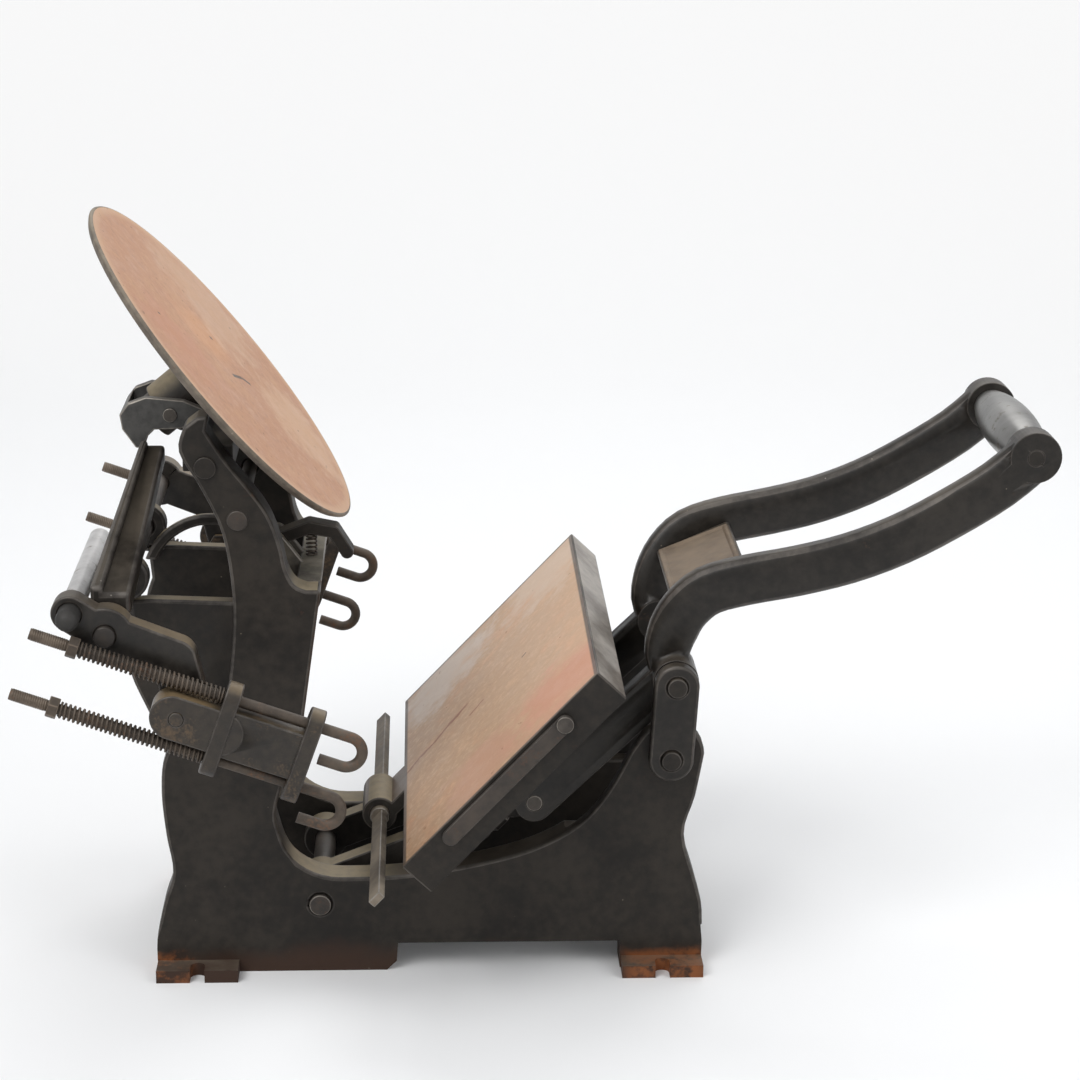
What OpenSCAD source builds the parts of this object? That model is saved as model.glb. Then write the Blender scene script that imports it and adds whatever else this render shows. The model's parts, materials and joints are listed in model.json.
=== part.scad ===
// Hand-lever platen press: a cast frame with a leaning bed, a platen that rocks up to it,
// a forked handle on two links, a swinging roller frame and a turning ink disc.
// X runs along the press towards the handle, Y across it, Z up from the table. Places along X are first
// counted from the middle of the feet; each piece is then shifted to the middle of the whole length.

/* [Frame] */
// Half of the frame's length over its feet
frame_half_len = 168; // [162:1:176]
// Half of the frame's width over its two sides
frame_half_w = 73.5; // [70:0.5:80]
// Thickness of each side
wall_t = 22; // [20:0.5:24]
// Thickness of the post that carries a link
post_t = 10; // [8:0.5:11]
// Height of the dip in the sides, between bed and post
rim_z = 62; // [58:1:66]
// Height of the arch between the feet
arch_h = 18; // [12:1:22]
// How far the foot pads stand out of the sides
pad_out = 16; // [13:1:20]
// Thickness of the foot pads
pad_h = 8; // [6:0.5:12]
// Length of each foot pad
pad_len = 50; // [44:1:56]
// Radius of the hold-down notches in the foot pads
notch_r = 4.5; // [3.5:0.5:5.5]
// Radius of the stay across the uprights
stay_r = 4.5; // [3:0.5:6]

/* [Bed] */
// Height of the top of the bed
bed_top_z = 246; // [242:1:250]
// Height of the foot of the bed
bed_foot_z = 106; // [100:1:112]
// Thickness of the bed
bed_t = 15; // [12:1:18]
// Slope of the bed's face, from level
bed_slope = 82; // [80:0.5:84]
// Gap between bed and closed platen, for type and packing
bed_gap = 25; // [24:0.5:27]

/* [Platen] */
// Place of the platen's axis along the press
platen_axis_x = -67.7; // [-70:0.1:-65]
// Height of the platen's axis
platen_axis_z = 44.3; // [42:0.1:46]
// Radius of the platen shaft
platen_shaft_r = 6.7; // [6:0.1:7.5]
// Slope of the open platen, from level
platen_slope = 46.6; // [45:0.1:48]
// Distance from the platen's axis to its lower edge
platen_from = 74.3; // [72:0.1:77]
// Height of the platen's face along its slope
platen_len = 165; // [160:1:170]
// Half of the width of the platen's face
platen_half_w = 144.3; // [138:0.1:148]
// Thickness of the platen
platen_t = 14; // [12:0.5:16]
// Depth of the rim behind the platen's edges
platen_rim = 9; // [6:0.5:12]
// Radius of the impression screws
screw_r = 5; // [4:0.5:6]
// Half of the length of the gripper bar
gripper_half_len = 153.9; // [150:0.1:155]
// Distance from the platen's axis to the gripper bar
gripper_from = 52.6; // [51:0.1:54]
// Radius of the gripper bar's journal
gripper_r = 6; // [5:0.5:7]

/* [Links and handle] */
// Place of the posts' pins along the press
post_x = 145.9; // [143:0.1:148]
// Height of the posts' pins
post_z = 140.8; // [138:0.1:143]
// Distance between the pins of a link
link_len = 46.6; // [44:0.1:50]
// Lean of the links with the press open, from level
link_angle = 86.8; // [84:0.1:90]
// Width of a link
link_w = 27; // [24:1:30]
// Thickness of a link
link_t = 10; // [8:0.5:12]
// Radius of the link pins
link_pin_r = 6; // [5:0.5:7]
// Distance from the handle's link pin to its tail pin
tail_len = 118; // [116:0.5:120]
// Slope of the handle's tail with the press open, from level
tail_slope = 44.25; // [43:0.25:45.5]
// Half of the thickness of the handle's arms
arm_half_t = 8; // [7:0.5:9]
// Half of the depth of the handle's arms
arm_half_depth = 15.2; // [13:0.1:16]
// How far the handle's arms spread towards the grip
arm_spread = 13; // [8:1:16]
// Radius of the tail pins
tail_pin_r = 5; // [4:0.5:6]
// Radius of the grip at its middle
grip_r = 16; // [14:0.5:18]
// Radius of the rod through the grip
grip_rod_r = 5; // [4:0.5:6]

/* [Roller frame] */
// Place of the roller frame's axis along the press
roller_axis_x = -181; // [-183:0.5:-179]
// Height of the roller frame's axis
roller_axis_z = 251; // [250:0.5:253]
// Radius of the roller shaft
roller_shaft_r = 6; // [5:0.5:7]
// Distance from the middle of the press to the hook rods
hook_y = 182; // [180:0.5:186]
// Radius of the hook rods
rod_r = 3.175; // [2.8:0.005:3.4]
// Distance between the two rods of a side
rod_spacing = 37.2; // [36:0.2:40]
// Downward slope of the rods, from level
rod_slope = 19.5; // [18:0.5:21]
// Distance between the plates of a saddle
saddle_len = 48.3; // [46:0.1:52]
// Radius of the hooks' bend
hook_bend_r = 9; // [8:0.5:10]
// Wire radius of the hook springs
spring_wire_r = 0.8; // [0.6:0.05:0.9]
// Turns of a hook spring
spring_turns = 20; // [14:1:20]
// Length of a hook spring
spring_len = 84; // [76:1:90]
// Radius of the bright rod on the near arm
frame_rod_r = 6.5; // [5.5:0.5:7]

/* [Ink disc] */
// Place of the middle of the disc's face along the press
disc_x = -123.4; // [-125:0.1:-122]
// Height of the middle of the disc's face
disc_z = 370.3; // [368:0.1:373]
// Radius of the disc
disc_r = 119.4; // [112:0.2:121]
// Thickness of the disc
disc_t = 5; // [4.5:0.5:7]
// Lean of the disc's axis, from upright
disc_tilt = 50.6; // [49.5:0.1:51.5]
// Radius of the disc's spindle
spindle_r = 9; // [7:0.5:10]

/* [Hidden] */

$fn = 48;

// Colours as photographed
iron = [0.20, 0.19, 0.18];
worn_iron = [0.30, 0.28, 0.26];
rust = [0.40, 0.29, 0.22];
bright = [0.72, 0.72, 0.72];
film = [0.80, 0.62, 0.54];

// Clearances
run_gap = 0.05;
side_gap = 1.5;
clear_gap = 0.4;
head_h = 2;
flank_in = 0.05;

// Layers across the press
wall_in = frame_half_w - wall_t;
post_in = frame_half_w - post_t;
arm_y = post_in - side_gap - arm_half_t;
arm_in = arm_y - arm_half_t;
carrier_half_w = arm_in - 2;
link_in = frame_half_w + 1;
link_out = link_in + link_t;
saddle_half_w = 10;
roller_arm_t = 14;
roller_arm_out = hook_y - saddle_half_w;
roller_arm_in = roller_arm_out - roller_arm_t;

// Axes in the side view
platen_axis = [platen_axis_x, platen_axis_z];
post_pin = [post_x, post_z];
link_pin = post_pin + link_len * [cos(link_angle), sin(link_angle)];
tail_pin = link_pin - tail_len * [cos(tail_slope), sin(tail_slope)];
roller_axis = [roller_axis_x, roller_axis_z];
disc_centre = [disc_x, disc_z];
pawl_axis = disc_centre + [-31.6, -28.4];

// The platen's closed face passes through its axis at the bed's slope, a gap in front of the bed
function bed_x(z) = platen_axis_x + (z - platen_axis_z) / tan(bed_slope) - bed_gap / sin(bed_slope);

// Turns a side-view vector
function turned(v, a) = [v[0] * cos(a) - v[1] * sin(a), v[0] * sin(a) + v[1] * cos(a)];

// A smooth curve through points, with so many steps between each two
function curve_point(a, b, c, d, t) =
    0.5 * (2 * b + (c - a) * t + (2 * a - 5 * b + 4 * c - d) * t * t + (3 * b - a - 3 * c + d) * t * t * t);
function smooth(p, steps) = concat(
    [for (i = [0 : len(p) - 2])
        for (k = [0 : steps - 1])
            curve_point(p[max(i - 1, 0)], p[i], p[i + 1], p[min(i + 2, len(p) - 1)], k / steps)],
    [p[len(p) - 1]]);
function arc(c, r, from, to, steps) =
    [for (k = [0 : steps]) c + r * [cos(from + (to - from) * k / steps), sin(from + (to - from) * k / steps)]];

// Draws a side-view outline as a slab between two places across the press
module slab(y0, y1) {
    translate([0, y1, 0]) rotate([90, 0, 0]) linear_extrude(y1 - y0) children();
}

// A round bar across the press
module cross_bar(p, r, y0, y1) {
    translate([p[0], y1, p[1]]) rotate([90, 0, 0]) cylinder(r = r, h = y1 - y0);
}

// A bar with round ends and elbows, in the side view; its flanks lie a hair inside the round ends
module bent_bar(p, r) {
    for (q = p) translate(q) circle(r);
    for (i = [0 : len(p) - 2]) {
        d = p[i + 1] - p[i];
        half = r - flank_in;
        translate(p[i]) rotate(atan2(d[1], d[0])) translate([0, -half]) square([norm(d), 2 * half]);
    }
}

module capsule(p, q, r) {
    bent_bar([p, q], r);
}

// Shifts a piece from the middle of the feet to the middle of the whole length
module centred() {
    translate([-middle_x, 0, 0]) children();
}

module far_side() {
    mirror([0, 1, 0]) children();
}

module both_sides() {
    children();
    far_side() children();
}

// The side of the frame

post_head_r = 21;
post_cut = [56, 90];
upright_top_z = bed_top_z + 107;
ear_r = 14;
lobe_top_z = 238;
frame_rod_arm = 23;
frame_rod_angle = 146.4;
stay_at = [-112.8, 290];
bracket_at = [-131, 322];

function waist_left() = smooth([
    [-frame_half_len, 0], [-frame_half_len, 22], [-frame_half_len + 4.5, 45], [-frame_half_len + 10.7, 66],
    [-frame_half_len + 7.5, 90], [-frame_half_len + 5.4, 116], [-frame_half_len + 7, 138],
    [-frame_half_len + 14, 152]], 4);
function upright_back() = smooth([
    [-121, 184], [-117.5, 215], [-117, 245], [-122, 281], [-134, 309], [-146, 331], [-143, 346]], 4);
function upright_front() = smooth([
    [-130, 344], [-119, 326.4], [-104.9, 308.2], [-94.7, 292.9], [-88, 274.4], [-84.8, bed_top_z + 13],
    [-80, bed_top_z + 3.5], [-73, bed_top_z]], 4);
function rim() = smooth([
    [bed_x(165), 165], [-92.7, 112], [-92.3, 93], [-84, rim_z + 12], [-66, rim_z + 1], [-42, rim_z - 0.5],
    [-10, rim_z + 1.5], [28, rim_z + 8], [62, rim_z + 17.5], [90, rim_z + 33], [108, rim_z + 54],
    [122, post_z + 2]], 4);
function waist_right() = smooth([
    [frame_half_len - 1, post_z], [frame_half_len - 6, 113], [frame_half_len - 12.3, 88],
    [frame_half_len - 4, 56], [frame_half_len, 37], [frame_half_len, 0]], 4);
function arch() = [
    [frame_half_len - 50.5, 0], [frame_half_len - 50.5, arch_h], [-frame_half_len + 148, arch_h],
    [-frame_half_len + 147, 6], [-frame_half_len + 141, 0]];

module side_outline() {
    polygon(concat(
        waist_left(), upright_back(), [[-135, upright_top_z - 1], [-128, upright_top_z]], upright_front(),
        [[bed_x(bed_top_z), bed_top_z]], rim(), arc(post_pin, post_head_r, 150, 10, 12), waist_right(),
        arch()));
}

module lobe_outline() {
    edge = smooth([[-152, 140], [-157, 148], [-165, 157], [-173, 174], [-179, 189], [-181, 203], [-177, 216]], 3);
    polygon(concat(edge, [
        roller_axis + ear_r * [cos(280), sin(280)], [roller_axis_x + ear_r, lobe_top_z], [-116, lobe_top_z - 2],
        [-116, 180]]));
    translate(roller_axis) circle(ear_r);
}

pad_slot_x = frame_half_len - pad_len / 2;

module foot_pad(at) {
    difference() {
        translate([at - pad_len / 2, -frame_half_w - pad_out, 0]) cube([pad_len, pad_out + 1, pad_h]);
        translate([at, -frame_half_w - pad_out + 7, -1]) cylinder(r = notch_r, h = pad_h + 2);
        translate([at - notch_r, -frame_half_w - pad_out - 1, -1]) cube([2 * notch_r, 8, pad_h + 2]);
    }
}

module side_frame() {
    difference() {
        union() {
            slab(-frame_half_w, -post_in) side_outline();
            slab(-post_in, -wall_in) {
                difference() {
                    side_outline();
                    translate(post_cut) square([200, 200]);
                }
                lobe_outline();
            }
            foot_pad(-pad_slot_x);
            foot_pad(pad_slot_x);
        }
        cross_bar(platen_axis, platen_shaft_r + run_gap, -frame_half_w - 1, -wall_in + 1);
        cross_bar(post_pin, link_pin_r, -frame_half_w - 1, -post_in + 1);
        cross_bar(roller_axis, roller_shaft_r + run_gap, -frame_half_w - 1, -wall_in + 1);
        cross_bar(stay_at, stay_r, -frame_half_w - 1, -wall_in + 1);
        cross_bar(bracket_at, bracket_screw_r, -frame_half_w - 1, -wall_in + 1);
    }
}

module side_frame_near() {
    color(iron) centred() side_frame();
}

// The far side also has an arched rib, seen over its lobe
rib_at = [-138, 215];
rib_r = 45;
rib_w = 7;
rib_out = 6;

module side_frame_far() {
    color(iron) centred() {
        far_side() side_frame();
        slab(wall_in - rib_out, wall_in) difference() {
            translate(rib_at) circle(rib_r);
            translate(rib_at) circle(rib_r - rib_w);
            translate(rib_at + [-rib_r - 1, -rib_r - 1]) square([2 * rib_r + 2, rib_r + 1 + lobe_top_z - rib_at[1] - 8]);
            translate(rib_at + [14, 0]) square([rib_r, rib_r]);
        }
    }
}

// Across the frame

clamp_axis = [bed_x(bed_top_z) - bed_t - 15, bed_top_z + 12];
clamp_pin_r = 3;
clamp_half_w = 7;
clamp_lug_t = 6;
clamp_seat_x = bed_x(bed_top_z) - 8;

module bed_casting() {
    color(worn_iron) centred() difference() {
        union() {
            slab(-wall_in, wall_in) polygon([
                [bed_x(bed_foot_z), bed_foot_z], [bed_x(bed_top_z), bed_top_z],
                [bed_x(bed_top_z) - bed_t, bed_top_z], [bed_x(bed_foot_z) - bed_t, bed_foot_z]]);
            both_sides() slab(clamp_half_w + clear_gap, clamp_half_w + clear_gap + clamp_lug_t) {
                translate(clamp_axis) circle(6.5);
                polygon([
                    clamp_axis + [-4.5, -4.7], clamp_axis + [4.5, 4.7], [bed_x(bed_top_z) - bed_t + 2, bed_top_z],
                    [bed_x(bed_top_z - 26) - bed_t + 2, bed_top_z - 26]]);
            }
        }
        cross_bar(clamp_axis, clamp_pin_r, -30, 30);
    }
}

// The tie between the sides below the posts
tie_at = [118, 24];
tie_size = [32, 36];

module post_tie() {
    color(iron) centred() slab(-wall_in, wall_in) translate(tie_at) square(tie_size);
}

module headed_bar(p, r, head_r, y) {
    cross_bar(p, r, -y - head_h, y + head_h);
    cross_bar(p, head_r, y, y + head_h);
    cross_bar(p, head_r, -y - head_h, -y);
}

module platen_shaft() {
    color(worn_iron) centred() cross_bar(platen_axis, platen_shaft_r, -frame_half_w - head_h, frame_half_w + head_h);
}

module frame_stay() {
    color(worn_iron) centred() headed_bar(stay_at, stay_r, stay_r + 1.5, frame_half_w);
}

module link_foot_pins() {
    color(worn_iron) centred() both_sides() cross_bar(post_pin, link_pin_r, post_in, link_out + head_h);
}

// The ink disc and what carries it

hub_r = 22;
hub_h = 14;
boss_r = 17;
boss_from = 24;
boss_to = 48;
collar_h = 8;
ratchet_r = 32;
ratchet_h = 6;
ratchet_teeth = 24;
bracket_screw_r = 3.5;
bracket_half = [15, 8];
bracket_web_half_w = 14;
bracket_web = [[-150, 345], [-140, 340], [-130, 329], [-145, 316]];

// Places its children with the disc's face as their level
module on_disc() {
    translate([disc_x, 0, disc_z]) rotate([0, disc_tilt, 0]) children();
}

module ink_disc() {
    color(film) centred() on_disc() {
        translate([0, 0, -disc_t]) rotate_extrude($fn = 96) polygon([
            [spindle_r, 0], [disc_r - 3, 0], [disc_r, 3], [disc_r, disc_t - 1], [disc_r - 1, disc_t],
            [0, disc_t], [0, 4], [spindle_r, 4]]);
        translate([0, 0, -disc_t - hub_h]) difference() {
            cylinder(r = hub_r, h = hub_h);
            translate([0, 0, -1]) cylinder(r = spindle_r, h = hub_h + 2);
        }
    }
}

module disc_spindle() {
    color(worn_iron) centred() on_disc() translate([0, 0, -boss_to - collar_h - 1])
        cylinder(r = spindle_r, h = boss_to + collar_h + 1 - disc_t + 4);
}

module ratchet_wheel() {
    color(worn_iron) centred() on_disc() translate([0, 0, -disc_t - ratchet_h]) linear_extrude(ratchet_h) difference() {
        polygon([for (i = [0 : ratchet_teeth - 1])
            for (k = [0, 1])
                (ratchet_r - 3.5 * k) * [cos((i + 0.15 * k) * 360 / ratchet_teeth),
                                         sin((i + 0.15 * k) * 360 / ratchet_teeth)]]);
        circle(hub_r);
    }
}

module spindle_collar() {
    color(worn_iron) centred() on_disc() translate([0, 0, -boss_to - clear_gap - collar_h]) difference() {
        cylinder(r = spindle_r + 5, h = collar_h);
        translate([0, 0, -1]) cylinder(r = spindle_r, h = collar_h + 2);
    }
}

module disc_bracket() {
    color(iron) centred() difference() {
        union() {
            slab(-wall_in, wall_in) translate(bracket_at - bracket_half) square(2 * bracket_half);
            slab(-bracket_web_half_w, bracket_web_half_w) polygon(bracket_web);
            on_disc() translate([0, 0, -boss_to]) cylinder(r = boss_r, h = boss_to - boss_from);
        }
        on_disc() translate([0, 0, -100]) cylinder(r = spindle_r + run_gap, h = 100);
        both_sides() cross_bar(bracket_at, bracket_screw_r, wall_in - 18, wall_in + 1);
        both_sides() cross_bar(pawl_axis, pawl_pin_r, spindle_r + 3, boss_r + 1);
    }
}

module bracket_screws() {
    color(worn_iron) centred() both_sides() {
        cross_bar(bracket_at, bracket_screw_r, wall_in - 17, frame_half_w + head_h);
        cross_bar(bracket_at, bracket_screw_r + 3, frame_half_w, frame_half_w + head_h);
    }
}

// The pawl below the disc

pawl_pin_r = 3;
pawl_t = 6;
pawl_in = boss_r + 1.5;

module pawl_cheek() {
    difference() {
        polygon(concat(
            [for (p = [[-29, -9], [-30.4, 0], [-25, 7.1], [-15, 10.8], [8.5, 8.6], [21, 3.1]]) pawl_axis + p],
            [for (p = [[17, -3], [6, -8.7], [-9.6, -9.2], [-13.5, -13], [-16, -20], [-21, -20.5]]) pawl_axis + p]));
        translate(pawl_axis) circle(pawl_pin_r + run_gap);
    }
}

module pawl() {
    color(iron) centred() {
        both_sides() slab(pawl_in, pawl_in + pawl_t) pawl_cheek();
        slab(-pawl_in - 1, pawl_in + 1) intersection() {
            pawl_cheek();
            translate(pawl_axis + [-40, -2]) square([14, 20]);
        }
    }
}

module pawl_pins() {
    color(worn_iron) centred() both_sides() {
        cross_bar(pawl_axis, pawl_pin_r, spindle_r + 3, pawl_in + pawl_t + 1.5);
        cross_bar(pawl_axis, pawl_pin_r + 1.2, pawl_in + pawl_t + clear_gap, pawl_in + pawl_t + 1.5);
    }
}

// The clamp over the top of the bed

clamp_bar_r = 4;
clamp_knee = [clamp_seat_x - 1, bed_top_z + 20];

module chase_clamp() {
    tip = [bed_x(bed_top_z) + 14, bed_top_z + 4];
    shoulder = [bed_x(bed_top_z) + 6, bed_top_z + 17];
    color(iron) centred() slab(-clamp_half_w, clamp_half_w) difference() {
        union() {
            translate(clamp_axis) circle(6);
            bent_bar([clamp_axis, clamp_knee, shoulder, tip], clamp_bar_r);
        }
        translate(clamp_axis) circle(clamp_pin_r + run_gap);
    }
}

module clamp_pin() {
    color(worn_iron) centred() cross_bar(clamp_axis, clamp_pin_r, -clamp_half_w - clamp_lug_t - 2, clamp_half_w + clamp_lug_t + 2);
}

// Wound springs: one tube along a helix, eight rings to a turn and six sides

rings_per_turn = 8;
wire_sides = 6;

// Points of a spring's centre line along Z, with a straight end as long as the wire is thick
function spring_line(r, turns, length, wire) = concat(
    [[r, -2 * wire, wire]],
    [for (k = [0 : turns * rings_per_turn])
        let (a = 360 * k / rings_per_turn)
        [r * cos(a), r * sin(a), wire + (length - 2 * wire) * k / (turns * rings_per_turn)]],
    [[r, 2 * wire, length - wire]]);

module tube(line, wire) {
    last = len(line) - 1;
    points = [for (i = [0 : last])
        let (along = line[min(i + 1, last)] - line[max(i - 1, 0)],
             t = along / norm(along),
             out = let (o = [line[i][0], line[i][1], 0]) o - t * (o * t),
             n = out / norm(out),
             b = cross(t, n))
        for (k = [0 : wire_sides - 1])
            line[i] + wire * (cos(360 * k / wire_sides) * n + sin(360 * k / wire_sides) * b)];
    sides = [for (i = [0 : last - 1])
        for (k = [0 : wire_sides - 1])
            let (a = i * wire_sides + k, b = i * wire_sides + (k + 1) % wire_sides)
            each [[a, a + wire_sides, b], [b, a + wire_sides, b + wire_sides]]];
    near_end = [for (k = [1 : wire_sides - 2]) [0, k, k + 1]];
    end = last * wire_sides;
    far_end = [for (k = [1 : wire_sides - 2]) [end, end + k + 1, end + k]];
    polyhedron(points = points, faces = concat(sides, near_end, far_end));
}

// The least gap between points of a tube that lie half a turn or more apart along it
function least_gap(line, wire) = min([for (i = [0 : len(line) - 1])
    for (k = [i + rings_per_turn / 2 : len(line) - 1]) norm(line[i] - line[k])]) - 2 * wire;

hook_spring_r = rod_r + 0.35 + spring_wire_r;
hook_spring_line = spring_line(hook_spring_r, spring_turns, spring_len, spring_wire_r);
clamp_spring_r = 3.2;
clamp_spring_turns = 6;
clamp_wire_r = 0.5;
clamp_bar_fall = 1.8;
clamp_spring_h = clamp_knee[1] - clamp_bar_r - bed_top_z - 2 * clear_gap - clamp_bar_fall;
clamp_spring_line = spring_line(clamp_spring_r, clamp_spring_turns, clamp_spring_h, clamp_wire_r);
echo(hook_spring_least_gap = least_gap(hook_spring_line, spring_wire_r));
echo(clamp_spring_least_gap = least_gap(clamp_spring_line, clamp_wire_r));

module clamp_spring() {
    color(rust) centred() translate([clamp_seat_x, 0, bed_top_z + clear_gap]) tube(clamp_spring_line, clamp_wire_r);
}

// The platen and its carrier

carrier_from = 30;
carrier_t = 12;
carrier_span = [84, 188];
carrier_boss_r = 14;
carrier_arm_t = 14;
carrier_arm_r = 10;
ear_t = 12;
ear_wall = 8;
ear_root = 40;
screw_in_y = carrier_half_w / 3;
screw_out_y = carrier_half_w - 10;
screw_spots = [[100, -screw_in_y], [100, screw_in_y], [168, -screw_out_y], [168, screw_out_y]];
screw_boss_r = 11;
nut_h = 7;

// Places its children with the platen's face as their level and its axis as their origin
module on_platen() {
    translate([platen_axis_x, 0, platen_axis_z]) rotate([0, -platen_slope, 0]) children();
}

// The tail pin in the platen's own side view, at rest and where it strays farthest at mid travel
closing = bed_slope - platen_slope;
closed_tail = platen_axis + turned(tail_pin - platen_axis, closing);
reach = norm(closed_tail - post_pin);
closed_link = atan2(closed_tail[1] - post_z, closed_tail[0] - post_x)
    - acos((reach * reach + link_len * link_len - tail_len * tail_len) / (2 * reach * link_len));
link_swing = closed_link - link_angle;
closed_link_pin = post_pin + link_len * [cos(closed_link), sin(closed_link)];
handle_swing = atan2(closed_link_pin[1] - closed_tail[1], closed_link_pin[0] - closed_tail[0]) - tail_slope;
mid_link_pin = post_pin + turned(link_pin - post_pin, link_swing / 2);
mid_tail = mid_link_pin + turned(tail_pin - link_pin, handle_swing / 2);
function in_platen(p, closed_by) = turned(p - platen_axis, -platen_slope - closed_by);
tail_at = in_platen(tail_pin, 0);
tail_strays_to = in_platen(mid_tail, closing / 2);
slot_r = tail_pin_r + 2;
echo(link_swing = link_swing, handle_swing = handle_swing, closing = closing);

module platen_carrier() {
    color(iron) centred() on_platen() difference() {
        union() {
            translate([carrier_span[0], -carrier_half_w, -carrier_from - carrier_t])
                cube([carrier_span[1] - carrier_span[0], 2 * carrier_half_w, carrier_t]);
            both_sides() {
                slab(-carrier_half_w, -carrier_half_w + carrier_arm_t) {
                    circle(carrier_boss_r);
                    capsule([0, 0], [carrier_span[0] + carrier_arm_r, -carrier_from - carrier_t - 2], carrier_arm_r);
                }
                slab(-carrier_half_w, -carrier_half_w + ear_t) {
                    capsule(tail_at, tail_strays_to, slot_r + ear_wall);
                    translate([tail_at[0] - ear_root / 2, -carrier_from - carrier_t - 8]) square([ear_root, 9]);
                }
            }
        }
        cross_bar([0, 0], platen_shaft_r + run_gap, -frame_half_w, frame_half_w);
        both_sides() slab(-carrier_half_w - 1, -carrier_half_w + ear_t + 1) capsule(tail_at, tail_strays_to, slot_r);
        for (s = screw_spots)
            translate([s[0], s[1], -carrier_from - carrier_t - 1]) cylinder(r = screw_r + run_gap, h = carrier_t + 2);
    }
}

hub_half_w = 22;

module platen() {
    color(film) centred() on_platen() difference() {
        union() {
            translate([platen_from, -platen_half_w, -platen_t]) cube([platen_len, 2 * platen_half_w, platen_t]);
            difference() {
                translate([platen_from, -platen_half_w, -platen_t - platen_rim])
                    cube([platen_len, 2 * platen_half_w, platen_rim + 1]);
                translate([platen_from + 9, -platen_half_w + 9, -platen_t - platen_rim - 1])
                    cube([platen_len - 18, 2 * platen_half_w - 18, platen_rim + 3]);
            }
            for (s = screw_spots)
                translate([s[0], s[1], -carrier_from + clear_gap]) cylinder(r = screw_boss_r, h = carrier_from - 5);
            slab(-hub_half_w, hub_half_w) {
                translate([gripper_from, 0]) circle(gripper_r + 5);
                translate([gripper_from, -8]) square([platen_from - gripper_from + 1, 8]);
            }
        }
        cross_bar([gripper_from, 0], gripper_r + run_gap, -hub_half_w - 1, hub_half_w + 1);
        for (s = screw_spots)
            translate([s[0], s[1], -carrier_from - 1]) cylinder(r = screw_r, h = carrier_from - 5);
        both_sides() cross_bar(bail_at, bail_rivet_r, platen_half_w - 12, platen_half_w + 1);
    }
}

module hex(across, h) {
    cylinder(d = across / cos(30), h = h, $fn = 6);
}

module impression_screws() {
    color(worn_iron) centred() on_platen() for (s = screw_spots) translate([s[0], s[1], 0]) {
        translate([0, 0, -carrier_from - carrier_t - 13]) cylinder(r = screw_r, h = carrier_t + 13 + carrier_from - 7);
        translate([0, 0, -carrier_from - carrier_t - 20]) hex(16, 7);
    }
}

module lock_nuts() {
    color(worn_iron) centred() on_platen() for (s = screw_spots)
        translate([s[0], s[1], -carrier_from - carrier_t - nut_h]) difference() {
            hex(17, nut_h);
            translate([0, 0, -1]) cylinder(r = screw_r, h = nut_h + 2);
        }
}

gripper_w = 9;
gripper_t = 5;

module gripper_bar() {
    color(worn_iron) centred() on_platen() translate([gripper_from, 0, 0]) {
        cross_bar([0, 0], gripper_r, -hub_half_w - 4, hub_half_w + 4);
        both_sides() translate([-gripper_w / 2, hub_half_w + 2, -gripper_t / 2])
            cube([gripper_w, gripper_half_len - hub_half_w - 2, gripper_t]);
    }
}

bail_at = [platen_from + 130, -platen_t / 2];
bail_len = 96;
bail_t = 3;
bail_rivet_r = 3;
bail_in = platen_half_w + clear_gap;

module side_bail() {
    on_platen() slab(-bail_in - bail_t, -bail_in) difference() {
        capsule(bail_at, bail_at - [bail_len, 0], 5);
        translate(bail_at) circle(bail_rivet_r + run_gap);
    }
}

module side_bail_near() {
    color(worn_iron) centred() side_bail();
}

module side_bail_far() {
    color(worn_iron) centred() far_side() side_bail();
}

module bail_rivets() {
    color(worn_iron) centred() on_platen() both_sides() {
        cross_bar(bail_at, bail_rivet_r, platen_half_w - 11, bail_in + bail_t + 2);
        cross_bar(bail_at, bail_rivet_r + 2, bail_in + bail_t + clear_gap, bail_in + bail_t + 2);
    }
}

// The links and the forked handle

module link() {
    slab(-link_out, -link_in) difference() {
        capsule(post_pin, link_pin, link_w / 2);
        translate(post_pin) circle(link_pin_r + run_gap);
        translate(link_pin) circle(link_pin_r + run_gap);
    }
}

module link_near() {
    color(iron) centred() link();
}

module link_far() {
    color(iron) centred() far_side() link();
}

module link_head_pins() {
    color(worn_iron) centred() both_sides() cross_bar(link_pin, link_pin_r, arm_in - 1, link_out + head_h);
}

arm_sides = 16;
arm_steps = 3;
arm_root_share = 0.84;
grip_offset = [211, 139];
arm_offsets = [
    [-4, 13], [-0.5, 29], [6.5, 43], [19.5, 55], [41.5, 62], [72.5, 68], [102.5, 75.5], [132.5, 87], [161.5, 102.5],
    [190.5, 121], grip_offset];
arm_line = smooth(concat([link_pin], [for (p = arm_offsets) link_pin + p]), arm_steps);
grip_at = link_pin + grip_offset;
end_boss_r = arm_half_depth + 0.3;
link_boss_r = 14;
tail_boss_r = 12;
plate_t = 8;
plate_at = link_pin + [22.5, 50.5];
plate_slope = 22;
plate_len = 50;
plate_half_w = arm_y + arm_half_t - 2;

// How far from the middle of the press the arm's centre line runs, spreading past the link pin
function arm_spread_at(i) = let (s = min(1, i / (6 * arm_steps)))
    arm_y + arm_spread * s * s * (3 - 2 * s);

// Half of the arm's depth at each step, less at the link pin
function arm_depth_at(i) = arm_half_depth * min(1, arm_root_share + (1 - arm_root_share) * i / (2 * arm_steps));

// Swells a circle's coordinate towards a square with rounded corners
function rounded(c) = sign(c) * pow(abs(c), 0.6);

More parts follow.
